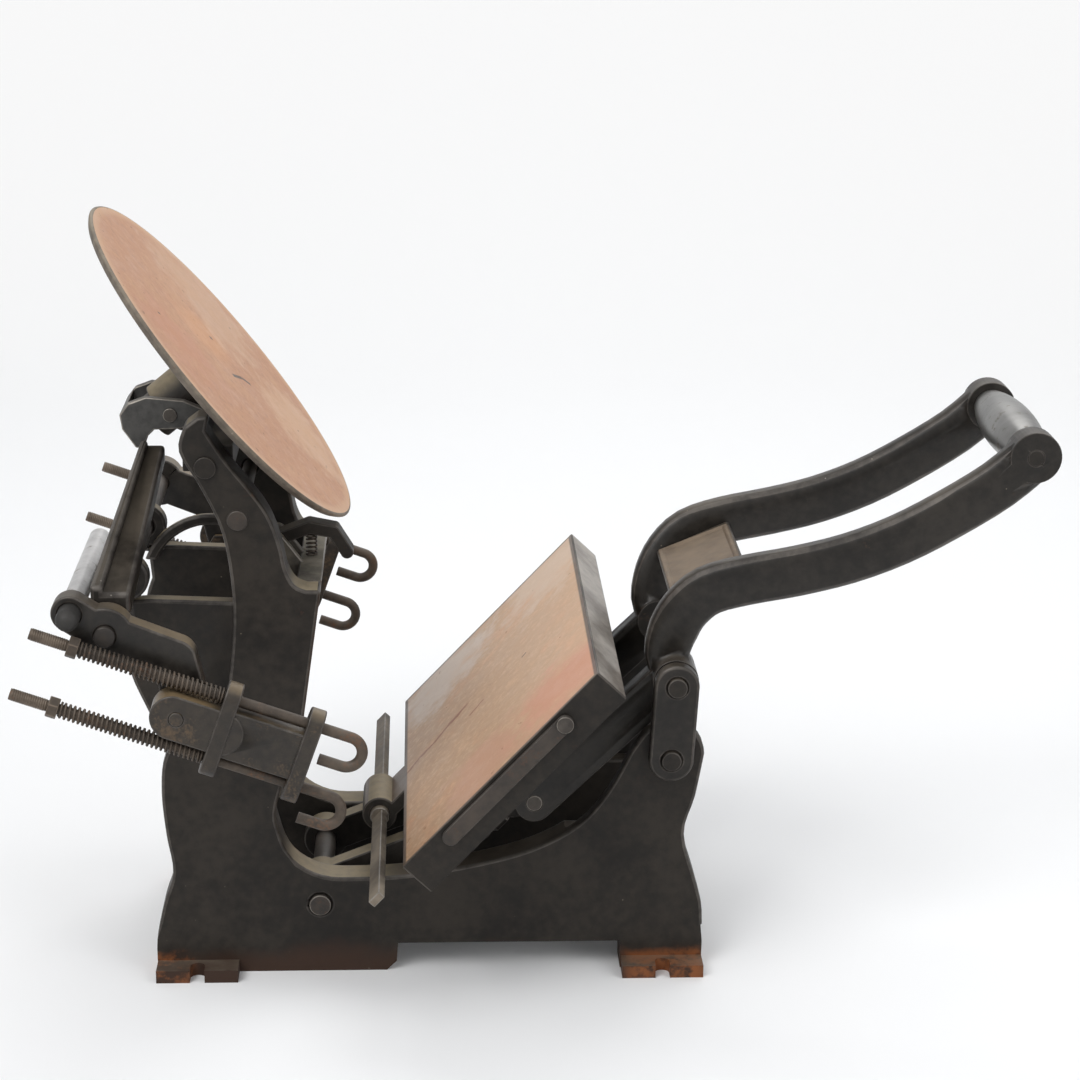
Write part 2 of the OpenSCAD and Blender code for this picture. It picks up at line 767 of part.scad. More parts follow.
module arm() {
    last = len(arm_line) - 1;
    points = [for (i = [0 : last])
        let (along = arm_line[min(i + 1, last)] - arm_line[max(i - 1, 0)],
             t = along / norm(along),
             n = [-t[1], t[0]])
        for (k = [0 : arm_sides - 1])
            let (a = 360 * (k + 0.5) / arm_sides,
                 p = arm_line[i] + n * arm_depth_at(i) * rounded(cos(a)))
            [p[0], -arm_spread_at(i) + arm_half_t * rounded(sin(a)), p[1]]];
    sides = [for (i = [0 : last - 1])
        for (k = [0 : arm_sides - 1])
            let (a = i * arm_sides + k, b = i * arm_sides + (k + 1) % arm_sides)
            each [[a, b, a + arm_sides], [b, b + arm_sides, a + arm_sides]]];
    near_end = [[for (k = [0 : arm_sides - 1]) arm_sides - 1 - k]];
    far_end = [[for (k = [0 : arm_sides - 1]) last * arm_sides + k]];
    polyhedron(points = points, faces = concat(sides, near_end, far_end));
}

grip_y = arm_y + arm_spread;

module handle() {
    color(iron) centred() difference() {
        union() {
            both_sides() {
                arm();
                cross_bar(link_pin, link_boss_r, -frame_half_w - 0.5, -arm_in + 1);
                slab(-arm_y - arm_half_t, -arm_in) capsule(tail_pin, link_pin, tail_boss_r);
                cross_bar(grip_at, end_boss_r, -grip_y - arm_half_t + 0.3, -grip_y + arm_half_t + 1);
            }
            translate([plate_at[0], 0, plate_at[1]]) rotate([0, -plate_slope, 0])
                translate([-plate_len / 2, -plate_half_w, -plate_t / 2]) cube([plate_len, 2 * plate_half_w, plate_t]);
        }
        both_sides() cross_bar(link_pin, link_pin_r, -frame_half_w - 1, -arm_in + 2);
        both_sides() cross_bar(tail_pin, tail_pin_r, -arm_y - arm_half_t - 1, -arm_in + 1);
        cross_bar(grip_at, grip_rod_r, -grip_y - arm_half_t - 2, grip_y + arm_half_t + 2);
    }
}

module tail_pins() {
    color(worn_iron) centred() both_sides() cross_bar(tail_pin, tail_pin_r, carrier_half_w - ear_t, arm_y + arm_half_t);
}

module handle_grip() {
    half = grip_y - arm_half_t - 1 - clear_gap;
    color(bright) centred() translate([grip_at[0], 0, grip_at[1]]) rotate([90, 0, 0]) rotate_extrude() polygon(concat(
        [[grip_rod_r, -half]],
        [for (k = [0 : 16]) let (s = k / 8 - 1) [grip_r - 5 * s * s, half * s]],
        [[grip_rod_r, half]]));
}

module grip_rod() {
    color(worn_iron) centred() cross_bar(grip_at, grip_rod_r, -grip_y - arm_half_t + 0.3, grip_y + arm_half_t - 0.3);
}

// The roller frame

saddle_at = [-116.7, 199.5];
rod_along = [cos(rod_slope), -sin(rod_slope)];
rod_up = [sin(rod_slope), cos(rod_slope)];
frame_rod_at = roller_axis + frame_rod_arm * [cos(frame_rod_angle), sin(frame_rod_angle)];
arm_elbow = [-143, 236];
arm_end = [-136, 206];
arm_boss_r = 16;
arm_bar_r = 12.5;
saddle_bolt_r = 4;
saddle_bolt_from = 26;
bolt_head_h = 4;
saddle_bolt_at = saddle_at - saddle_bolt_from * rod_along;
trip_foot = [-179, 264];
trip_top = [-165, 320];
trip_top_y = 30;
frame_rod_to = 20;

module roller_shaft() {
    color(worn_iron) centred() cross_bar(roller_axis, roller_shaft_r, -roller_arm_out - 3, roller_arm_out + 3);
}

module roller_arm(has_rod) {
    slab(-roller_arm_out, -roller_arm_in) difference() {
        union() {
            translate(roller_axis) circle(arm_boss_r);
            bent_bar([roller_axis, arm_elbow, arm_end], arm_bar_r);
            if (has_rod) capsule(roller_axis, frame_rod_at, frame_rod_r + 4);
        }
        translate(roller_axis) circle(roller_shaft_r);
        translate(saddle_bolt_at) circle(saddle_bolt_r);
        if (has_rod) translate(frame_rod_at) circle(frame_rod_r);
    }
}

module roller_arm_near() {
    color(iron) centred() roller_arm(true);
}

module roller_arm_far() {
    color(iron) centred() far_side() roller_arm(false);
}

// The tapered bar from the near arm up towards the pawl, a rib along its face
module trip_arm() {
    foot = [trip_foot[0], -roller_arm_in, trip_foot[1]];
    top = [trip_top[0], -trip_top_y, trip_top[1]];
    color(iron) centred() {
        hull() {
            translate(foot + [-11, 0, -5]) cube([22, 6, 12]);
            translate(top + [-7, -6, -4]) cube([14, 6, 9]);
        }
        hull() {
            translate(foot + [-11, 0, -3]) cube([7, 6, 14]);
            translate(top + [-7, -6, -2]) cube([4, 6, 10]);
        }
    }
}

module frame_rod() {
    color(bright) centred() {
        cross_bar(frame_rod_at, frame_rod_r, -roller_arm_out - 10, -frame_rod_to);
        translate([frame_rod_at[0], -roller_arm_out - 10, frame_rod_at[1]]) sphere(frame_rod_r);
    }
}

// Places its children with X along the rods and Z up from the middle of a saddle's left plate
module on_saddle() {
    translate([saddle_at[0], -hook_y, saddle_at[1]]) rotate([0, rod_slope, 0]) children();
}

plate_w = 9;
nut_at = -plate_w / 2 - clear_gap - spring_len - clear_gap;
rod_nut_h = 6;
rod_over = 22;
rod_from = nut_at - rod_nut_h - rod_over;

// The whole length runs from the lower rods' ends to the handle's end
left_end = saddle_at[0] + rod_from * rod_along[0] - (rod_spacing / 2 + rod_r) * rod_up[0];
right_end = grip_at[0] + max(end_boss_r, grip_r);
middle_x = (left_end + right_end) / 2;
echo(middle_x = middle_x, length = right_end - left_end);

web_half = rod_spacing / 2 - rod_r - 1.5;
stub_len = 41;
stub_r = web_half - 1;

module saddle() {
    on_saddle() difference() {
        union() {
            for (u = [0, saddle_len]) translate([u - plate_w / 2, 0, 0]) rotate([90, 0, 90]) linear_extrude(plate_w)
                capsule([0, -rod_spacing / 2], [0, rod_spacing / 2], saddle_half_w);
            translate([0, -saddle_half_w + 2, -web_half]) cube([saddle_len, 2 * saddle_half_w - 4, 2 * web_half]);
            slab(-saddle_half_w + 1, saddle_half_w) capsule([-stub_len + stub_r, 0], [0, 0], stub_r);
        }
        for (w = [-1, 1]) translate([-plate_w, 0, w * rod_spacing / 2]) rotate([0, 90, 0])
            cylinder(r = rod_r + run_gap, h = saddle_len + 2 * plate_w);
        translate([-saddle_bolt_from, saddle_half_w + 1, 0]) rotate([90, 0, 0])
            cylinder(r = saddle_bolt_r, h = 2 * saddle_half_w + 2);
    }
}

module saddle_near() {
    color(iron) centred() saddle();
}

module saddle_far() {
    color(iron) centred() far_side() saddle();
}

module saddle_bolts() {
    color(rust) centred() both_sides() {
        cross_bar(saddle_bolt_at, saddle_bolt_r, roller_arm_in - bolt_head_h, hook_y + saddle_half_w - 0.5);
        translate([saddle_bolt_at[0], roller_arm_in, saddle_bolt_at[1]]) rotate([90, 0, 0]) hex(13, bolt_head_h);
    }
}

// A sliding hook: a rod through the saddle, a round bend and a short tail
bend_at = saddle_len + 22;
tail_from = saddle_len + plate_w / 2 + 4;

module hook(w) {
    on_saddle() translate([0, 0, w * rod_spacing / 2]) {
        translate([rod_from, 0, 0]) rotate([0, 90, 0]) cylinder(r = rod_r, h = bend_at - rod_from);
        translate([bend_at, 0, -hook_bend_r]) rotate([90, 0, 0]) rotate([0, 0, -90])
            rotate_extrude(angle = 180) translate([hook_bend_r, 0]) circle(rod_r, $fn = 24);
        translate([tail_from, 0, -2 * hook_bend_r]) rotate([0, 90, 0]) cylinder(r = rod_r, h = bend_at - tail_from);
    }
}

module hook_nut(w) {
    on_saddle() translate([nut_at - rod_nut_h, 0, w * rod_spacing / 2]) rotate([0, 90, 0]) difference() {
        hex(11.1, rod_nut_h);
        translate([0, 0, -1]) cylinder(r = rod_r, h = rod_nut_h + 2);
    }
}

module hook_spring(w) {
    on_saddle() translate([nut_at + clear_gap, 0, w * rod_spacing / 2]) rotate([0, 90, 0])
        tube(hook_spring_line, spring_wire_r);
}

module hook_near_upper() { color(rust) centred() hook(1); }
module hook_near_lower() { color(rust) centred() hook(-1); }
module hook_far_upper() { color(rust) centred() far_side() hook(1); }
module hook_far_lower() { color(rust) centred() far_side() hook(-1); }
module nut_near_upper() { color(rust) centred() hook_nut(1); }
module nut_near_lower() { color(rust) centred() hook_nut(-1); }
module nut_far_upper() { color(rust) centred() far_side() hook_nut(1); }
module nut_far_lower() { color(rust) centred() far_side() hook_nut(-1); }
module spring_near_upper() { color(rust) centred() hook_spring(1); }
module spring_near_lower() { color(rust) centred() hook_spring(-1); }
module spring_far_upper() { color(rust) centred() far_side() hook_spring(1); }
module spring_far_lower() { color(rust) centred() far_side() hook_spring(-1); }

side_frame_near();
side_frame_far();
bed_casting();
post_tie();
platen_shaft();
frame_stay();
link_foot_pins();
disc_bracket();
bracket_screws();
pawl();
pawl_pins();
chase_clamp();
clamp_pin();
clamp_spring();
platen_carrier();
platen();
impression_screws();
lock_nuts();
gripper_bar();
side_bail_near();
side_bail_far();
bail_rivets();
link_near();
link_far();
link_head_pins();
handle();
tail_pins();
handle_grip();
grip_rod();
roller_shaft();
roller_arm_near();
roller_arm_far();
trip_arm();
frame_rod();
saddle_near();
saddle_far();
saddle_bolts();
hook_near_upper();
hook_near_lower();
hook_far_upper();
hook_far_lower();
nut_near_upper();
nut_near_lower();
nut_far_upper();
nut_far_lower();
spring_near_upper();
spring_near_lower();
spring_far_upper();
spring_far_lower();
ink_disc();
disc_spindle();
ratchet_wheel();
spindle_collar();
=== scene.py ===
"""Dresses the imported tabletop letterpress: softened castings, wound springs, worn finishes, camera and light."""

import json
import logging
import math
from dataclasses import dataclass
from enum import Enum
from functools import cache, reduce
from typing import Any, Mapping, Union

import bmesh
import bpy
import numpy as np
from mathutils import Matrix, Vector

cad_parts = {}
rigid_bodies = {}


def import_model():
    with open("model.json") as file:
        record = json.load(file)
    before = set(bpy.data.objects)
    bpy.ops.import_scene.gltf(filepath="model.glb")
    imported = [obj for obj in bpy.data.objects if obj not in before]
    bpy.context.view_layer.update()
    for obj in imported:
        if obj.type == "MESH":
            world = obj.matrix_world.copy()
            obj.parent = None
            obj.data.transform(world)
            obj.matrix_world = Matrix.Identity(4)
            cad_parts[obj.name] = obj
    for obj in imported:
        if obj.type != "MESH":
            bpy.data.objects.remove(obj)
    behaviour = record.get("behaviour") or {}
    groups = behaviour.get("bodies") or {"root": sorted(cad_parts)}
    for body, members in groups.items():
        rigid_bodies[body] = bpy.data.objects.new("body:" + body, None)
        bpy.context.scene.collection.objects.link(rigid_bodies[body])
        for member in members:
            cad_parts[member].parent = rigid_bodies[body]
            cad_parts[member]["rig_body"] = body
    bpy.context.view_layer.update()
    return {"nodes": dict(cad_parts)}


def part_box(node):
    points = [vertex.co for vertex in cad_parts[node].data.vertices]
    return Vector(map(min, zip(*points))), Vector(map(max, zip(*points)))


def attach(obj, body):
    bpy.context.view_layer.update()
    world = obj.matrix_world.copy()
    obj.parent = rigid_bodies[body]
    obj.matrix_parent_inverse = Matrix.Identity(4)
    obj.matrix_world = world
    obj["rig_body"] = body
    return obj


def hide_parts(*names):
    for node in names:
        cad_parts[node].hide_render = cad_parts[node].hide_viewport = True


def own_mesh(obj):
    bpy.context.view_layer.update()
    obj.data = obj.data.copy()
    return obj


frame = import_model()
LOG = logging.getLogger("letterpress")

Colour = tuple[float, float, float]
Point = tuple[float, float, float]
Span = tuple[float, float]
Value = Union[float, Colour, "Field"]

ORIGIN: Point = (0.0, 0.0, 0.0)
LENGTHWISE: Point = (1.0, 0.0, 0.0)
ACROSS: Point = (0.0, 1.0, 0.0)
UP: Point = (0.0, 0.0, 1.0)
SIDE_VIEW: Point = (1.0, 0.0, 1.0)
MIDDLE = 0.5  # what noise varies around
BLACK: Colour = (0.0, 0.0, 0.0)
INK: Colour = (0.012, 0.009, 0.007)
BARE_RIM: Colour = (0.035, 0.026, 0.020)
SKY: Colour = (0.93, 0.93, 0.93)
HOOKS = ("near_upper", "near_lower", "far_upper", "far_lower")


class Smoothing(Enum):
    """How the faces of a piece are shaded."""

    BY_ANGLE = "by angle"
    SMOOTH = "smooth"


class Field:
    """A shader value that changes over a surface; arithmetic on it adds Math nodes."""

    def __init__(self, graph: "Graph", socket: bpy.types.NodeSocket) -> None:
        """Keeps the graph and the output socket that carries the value."""
        self.graph = graph
        self.socket = socket

    def _math(self, operation: str, a: Value, b: Value) -> "Field":
        """Adds one Math node.

        Args:
            operation: Blender's name of the operation.
            a: The first value.
            b: The second value.

        Returns:
            The result as a field.
        """
        return self.graph.node("ShaderNodeMath", {"operation": operation}, {0: a, 1: b}).out()

    def __add__(self, other: Value) -> "Field":
        """Sum."""
        return self._math("ADD", self, other)

    def __radd__(self, other: Value) -> "Field":
        """Sum, turned round."""
        return self._math("ADD", other, self)

    def __sub__(self, other: Value) -> "Field":
        """Difference."""
        return self._math("SUBTRACT", self, other)

    def __rsub__(self, other: Value) -> "Field":
        """Difference, turned round."""
        return self._math("SUBTRACT", other, self)

    def __mul__(self, other: Value) -> "Field":
        """Product."""
        return self._math("MULTIPLY", self, other)

    def __rmul__(self, other: Value) -> "Field":
        """Product, turned round."""
        return self._math("MULTIPLY", other, self)

    def size(self) -> "Field":
        """The value without its sign."""
        return self._math("ABSOLUTE", self, 0.0)

    def most(self, other: Value) -> "Field":
        """The larger of this and another value."""
        return self._math("MAXIMUM", self, other)

    def step(self, low: float, high: float) -> "Field":
        """A smooth rise from 0 at low to 1 at high, or a fall where high is below low.

        Args:
            low: The value that gives 0.
            high: The value that gives 1.

        Returns:
            The field between 0 and 1.
        """
        return self.graph.node(
            "ShaderNodeMapRange",
            {"interpolation_type": "SMOOTHSTEP"},
            {"Value": self, "From Min": low, "From Max": high},
        ).out("Result")


@dataclass(frozen=True)
class Layer:
    """A layer of noise: breadth of its largest patches in metres, number of finer layers and their weight."""

    size: float
    detail: float = 4.0
    weight: float = 0.55


@dataclass
class Placed:
    """A node that stands in a graph."""

    graph: "Graph"
    node: bpy.types.Node

    def out(self, name: Union[str, int] = 0) -> Field:
        """One of the node's outputs as a field."""
        return Field(self.graph, self.node.outputs[name])


class Graph:
    """The node tree of one material or of the world."""

    def __init__(self, owner: bpy.types.Material | bpy.types.World) -> None:
        """Clears the tree of a new material or world.

        Args:
            owner: The material or world.
        """
        owner.use_nodes = True
        self.owner = owner
        self.tree = owner.node_tree
        self.tree.nodes.clear()

    def node(
        self, kind: str, settings: Mapping[str, Any] | None = None, sockets: Mapping[Any, Any] | None = None
    ) -> Placed:
        """Adds a node of any type.

        Args:
            kind: Blender's identifier of the node type.
            settings: Properties of the node, set before its sockets.
            sockets: Values or fields for the inputs, by name or number.

        Returns:
            The placed node.
        """
        node = self.tree.nodes.new(kind)
        for key, value in (settings or {}).items():
            setattr(node, key, value)
        for key, value in (sockets or {}).items():
            target = node.inputs[key]
            if isinstance(value, Field):
                self.tree.links.new(value.socket, target)
            elif isinstance(value, tuple) and target.type == "RGBA":
                target.default_value = (*value, 1.0)
            else:
                target.default_value = value
        return Placed(self, node)

    def place(self) -> Field:
        """Object coordinates of the shaded point, in metres."""
        return self.node("ShaderNodeTexCoord").out("Object")

    def facing_up(self) -> Field:
        """How far the surface faces up at rest, from -1 to 1."""
        normal = self.node("ShaderNodeTexCoord").out("Normal")
        return self.node("ShaderNodeSeparateXYZ", None, {0: normal}).out("Z")

    def noise(self, layer: Layer, at: Field | None = None) -> Field:
        """Smooth noise around 0.5.

        Args:
            layer: Its size and make-up.
            at: The point it is read at, or None for object coordinates.

        Returns:
            The noise as a field.
        """
        sockets = {"Vector": at or self.place(), "Scale": 1.0 / layer.size, "Detail": layer.detail,
                   "Roughness": layer.weight}
        return self.node("ShaderNodeTexNoise", None, sockets).out(0)

    def specks(self, spacing: float, share: float) -> Field:
        """Small round specks, scattered one to a cell.

        Args:
            spacing: Breadth of a cell, in metres.
            share: Radius of a speck as a share of its cell.

        Returns:
            A field that is 1 inside the specks.
        """
        sockets = {"Vector": self.place(), "Scale": 1.0 / spacing}
        distance = self.node("ShaderNodeTexVoronoi", None, sockets).out("Distance")
        return distance.step(share, share * 0.5)

    def vector(self, operation: str, a: Value, b: Value = ORIGIN) -> Placed:
        """Adds one Vector Math node."""
        return self.node("ShaderNodeVectorMath", {"operation": operation}, {0: a, 1: b})

    def stretched(self, scale: Point) -> Field:
        """Object coordinates stretched by a factor along each axis."""
        return self.vector("MULTIPLY", self.place(), scale).out()

    def from_point(self, centre: Point) -> Field:
        """Object coordinates counted from a point."""
        return self.vector("SUBTRACT", self.place(), centre).out()

    def length(self, vector: Field) -> Field:
        """Length of a vector field."""
        return self.vector("LENGTH", vector).out("Value")

    def aside(self, centre: Point) -> Field:
        """Distance from the line through a point across the press."""
        return self.length(self.vector("MULTIPLY", self.from_point(centre), SIDE_VIEW).out())

    def along(self, vector: Field, direction: Point) -> Field:
        """Share of a vector field along a direction."""
        return self.vector("DOT_PRODUCT", vector, direction).out("Value")

    def mix(self, share: Value, a: Value, b: Value) -> Field:
        """Mixes two colours.

        Args:
            share: How much of the second, from 0 to 1.
            a: The first colour.
            b: The second colour.

        Returns:
            The mixed colour.
        """
        return self.node("ShaderNodeMix", {"data_type": "RGBA"}, {0: share, 6: a, 7: b}).out(2)

    def surface(
        self, sockets: Mapping[str, Any], height: Field | None = None, relief: float = 0.0
    ) -> bpy.types.Material:
        """Ends a material's graph with a Principled surface.

        Args:
            sockets: Values or fields of the surface.
            height: Height of its grain, or None for none.
            relief: Depth of the grain, in metres.

        Returns:
            The finished material.
        """
        inputs = dict(sockets)
        if height is not None:
            bump = {"Height": height, "Distance": relief, "Strength": 1.0}
            inputs["Normal"] = self.node("ShaderNodeBump", None, bump).out()
        shader = self.node("ShaderNodeBsdfPrincipled", None, inputs).out()
        self.node("ShaderNodeOutputMaterial", None, {"Surface": shader})
        return self.owner


@dataclass(frozen=True)
class Cover:
    """Where a changing value covers a surface, from none at the span's start to a full share at its end."""

    span: Span
    share: float

    def of(self, value: Field) -> Field:
        """The cover that a value gives."""
        return value.step(*self.span) * self.share


@dataclass(frozen=True)
class Iron:
    """Cast iron under old paint, or bare and brown: mottled, grainy, dusty, with rust in patches.

    A span is where an effect starts and where it is full; speck is the specks' spacing and their share of it.
    """

    name: str
    slot: str
    dark: Colour
    pale: Colour
    rust: Colour
    dust: Colour = (0.36, 0.33, 0.29)
    rust_share: float = 0.25
    dust_share: float = 0.35
    speck_share: float = 0.5
    rough: float = 0.55
    metal: float = 0.15
    grain: float = 0.00012
    rusty_foot: float = 0.0
    drifts: tuple[tuple[Point, float], ...] = ()
    drift: Colour = (0.25, 0.205, 0.135)
    gloss: float = 0.5
    orange: Colour = (0.20, 0.068, 0.022)
    pads: tuple[float, ...] = (-0.2415, 0.0745)
    pad_half: float = 0.030
    pad_share: float = 0.95
    broad: Layer = Layer(0.045, 5.0, 0.6)
    fine: Layer = Layer(0.006, 3.0, 0.6)
    grainy: Layer = Layer(0.0016, 2.0, 0.5)
    patchy: Layer = Layer(0.03, 6.0, 0.68)
    speckled: Layer = Layer(0.02)
    mottle: Span = (0.34, 0.68)
    foot: Span = (0.020, 0.004)
    foot_stray: float = 0.03
    orange_foot: Span = (0.016, 0.008)
    orange_patch: Span = (0.44, 0.56)
    dusty_slope: Span = (0.40, 0.98)
    dusty_patch: Span = (0.25, 0.75)
    drift_slope: Span = (0.25, 0.8)
    speck: Span = (0.011, 0.055)
    speck_patch: Span = (0.5, 0.6)
    rough_by: tuple[float, float, float] = (0.25, 0.2, 0.25)
    relief: tuple[float, float, float] = (0.5, 0.8, 0.6)

    def _drifted(self, g: Graph) -> Field:
        """Where dust lies thick: up-facing surfaces near one of the drifts' lines across the press, from 0 to 1."""
        covers = [g.aside(centre).step(reach, 0.5 * reach) for centre, reach in self.drifts]
        return reduce(Field.most, covers) * g.facing_up().step(*self.drift_slope)

    def _rusted(self, g: Graph, broad: Field, grain: Field) -> tuple[Field, Field | None]:
        """Where rust lies: in patches and, on a rusty foot, low down, there with orange rust near the foot pads.

        Args:
            g: The graph.
            broad: The broad noise, which bends the foot's upper limit.
            grain: The finest noise, which frays the patches.

        Returns:
            The cover of brown rust and of orange rust, if any.
        """
        patches = g.noise(self.patchy)
        rust = (patches * 0.7 + grain * 0.3).step(0.68 - 0.25 * self.rust_share, 0.74 - 0.12 * self.rust_share)
        rust = rust * min(1.0, 0.4 + self.rust_share)
        if not self.rusty_foot:
            return rust, None
        height = g.along(g.place(), UP) + (broad - MIDDLE) * self.foot_stray
        place = g.along(g.place(), LENGTHWISE)
        pads = [(place - pad).size().step(self.pad_half, 0.6 * self.pad_half) for pad in self.pads]
        orange = patches.step(*self.orange_patch) * height.step(*self.orange_foot) * self.pad_share
        return rust.most(height.step(*self.foot) * self.rusty_foot), orange * reduce(Field.most, pads)

    def make(self) -> bpy.types.Material:
        """Builds the material: mottle, rust patches, dust on what faces up, pale specks and a cast grain.

        Returns:
            The material.
        """
        g = Graph(bpy.data.materials.new(self.name))
        broad, fine, grain = (g.noise(layer) for layer in (self.broad, self.fine, self.grainy))
        colour = g.mix((broad * 0.6 + fine * 0.4).step(*self.mottle), self.dark, self.pale)
        rust, orange = self._rusted(g, broad, grain)
        colour = g.mix(rust, colour, self.rust)
        if orange:
            colour = g.mix(orange, colour, self.orange)
        settled = g.facing_up().step(*self.dusty_slope) * broad.step(*self.dusty_patch) * self.dust_share
        colour = g.mix(settled, colour, self.dust)
        if self.drifts:
            colour = g.mix(self._drifted(g) * (0.45 + fine * 0.9), colour, self.drift)
        specks = g.specks(*self.speck) * g.noise(self.speckled).step(*self.speck_patch) * self.speck_share
        colour = g.mix(specks, colour, self.dust)
        by_noise, by_rust, by_dust = self.rough_by
        rough = self.rough + (fine - MIDDLE) * by_noise + rust * by_rust + settled * by_dust
        sockets = {"Base Color": colour, "Roughness": rough, "Metallic": self.metal * (1.0 - rust),
                   "Specular IOR Level": self.gloss}
        of_grain, of_fine, of_broad = self.relief
        return g.surface(sockets, grain * of_grain + fine * of_fine + broad * of_broad, self.grain)


@dataclass(frozen=True)
class BrightSteel:
    """Steel rubbed bright by use, with fine turning lines across its length and a few brown spots."""

    name: str
    slot: str
    colour: Colour
    spot: Colour
    rough: float = 0.32
    dull_below_y: float | None = None
    dull: Colour = (0.03, 0.028, 0.026)
    dull_fade: float = 0.004
    dull_stray: float = 0.01
    line_stretch: Point = (1.0, 40.0, 1.0)
    turned: Layer = Layer(0.02, 3.0, 0.6)
    broad: Layer = Layer(0.03, 5.0, 0.6)
    spotty: Layer = Layer(0.009, 4.0, 0.7)
    worn: Span = (0.35, 0.7)
    worn_tone: float = 0.7
    spots: Cover = Cover((0.58, 0.70), 0.6)
    metal: float = 0.95
    relief: float = 0.00003

    def make(self) -> bpy.types.Material:
        """Builds the material from stretched noise for the lines and patches for the spots.

        Returns:
            The material.
        """
        g = Graph(bpy.data.materials.new(self.name))
        lines = g.noise(self.turned, g.stretched(self.line_stretch))
        broad = g.noise(self.broad)
        spots = self.spots.of(g.noise(self.spotty))
        colour = g.mix(broad.step(*self.worn), self.colour, tuple(self.worn_tone * c for c in self.colour))
        colour = g.mix(spots, colour, self.spot)
        if self.dull_below_y is not None:
            across = g.along(g.place(), ACROSS) + (broad - MIDDLE) * self.dull_stray
            dulled = across.step(self.dull_below_y, self.dull_below_y - self.dull_fade)
            spots = spots.most(dulled)
            colour = g.mix(dulled, colour, self.dull)
        rough = self.rough + (lines - MIDDLE) * 0.2 + spots * 0.3
        sockets = {"Base Color": colour, "Roughness": rough, "Metallic": self.metal - spots * 0.5}
        return g.surface(sockets, lines, self.relief)


@dataclass(frozen=True)
class Stain:
    """A soft patch of another colour around a point."""

    centre: Point
    reach: float
    colour: Colour
    share: float


@dataclass(frozen=True)
class Mark:
    """A thin streak or scratch between two points."""

    start: Point
    end: Point
    width: float
    colour: Colour
    stray: float = 0.0


@dataclass(frozen=True)
class Panel:
    """A four-sided face: its foot, the way up it, its length and half its width."""

    foot: Point
    way: Point
    length: float
    half_width: float

    def outside(self, g: Graph) -> Field:
        """Distance out from the nearest side, below 0 inside."""
        ends = (g.along(g.from_point(self.foot), self.way) - 0.5 * self.length).size() - 0.5 * self.length
        return ends.most(g.along(g.place(), ACROSS).size() - self.half_width)


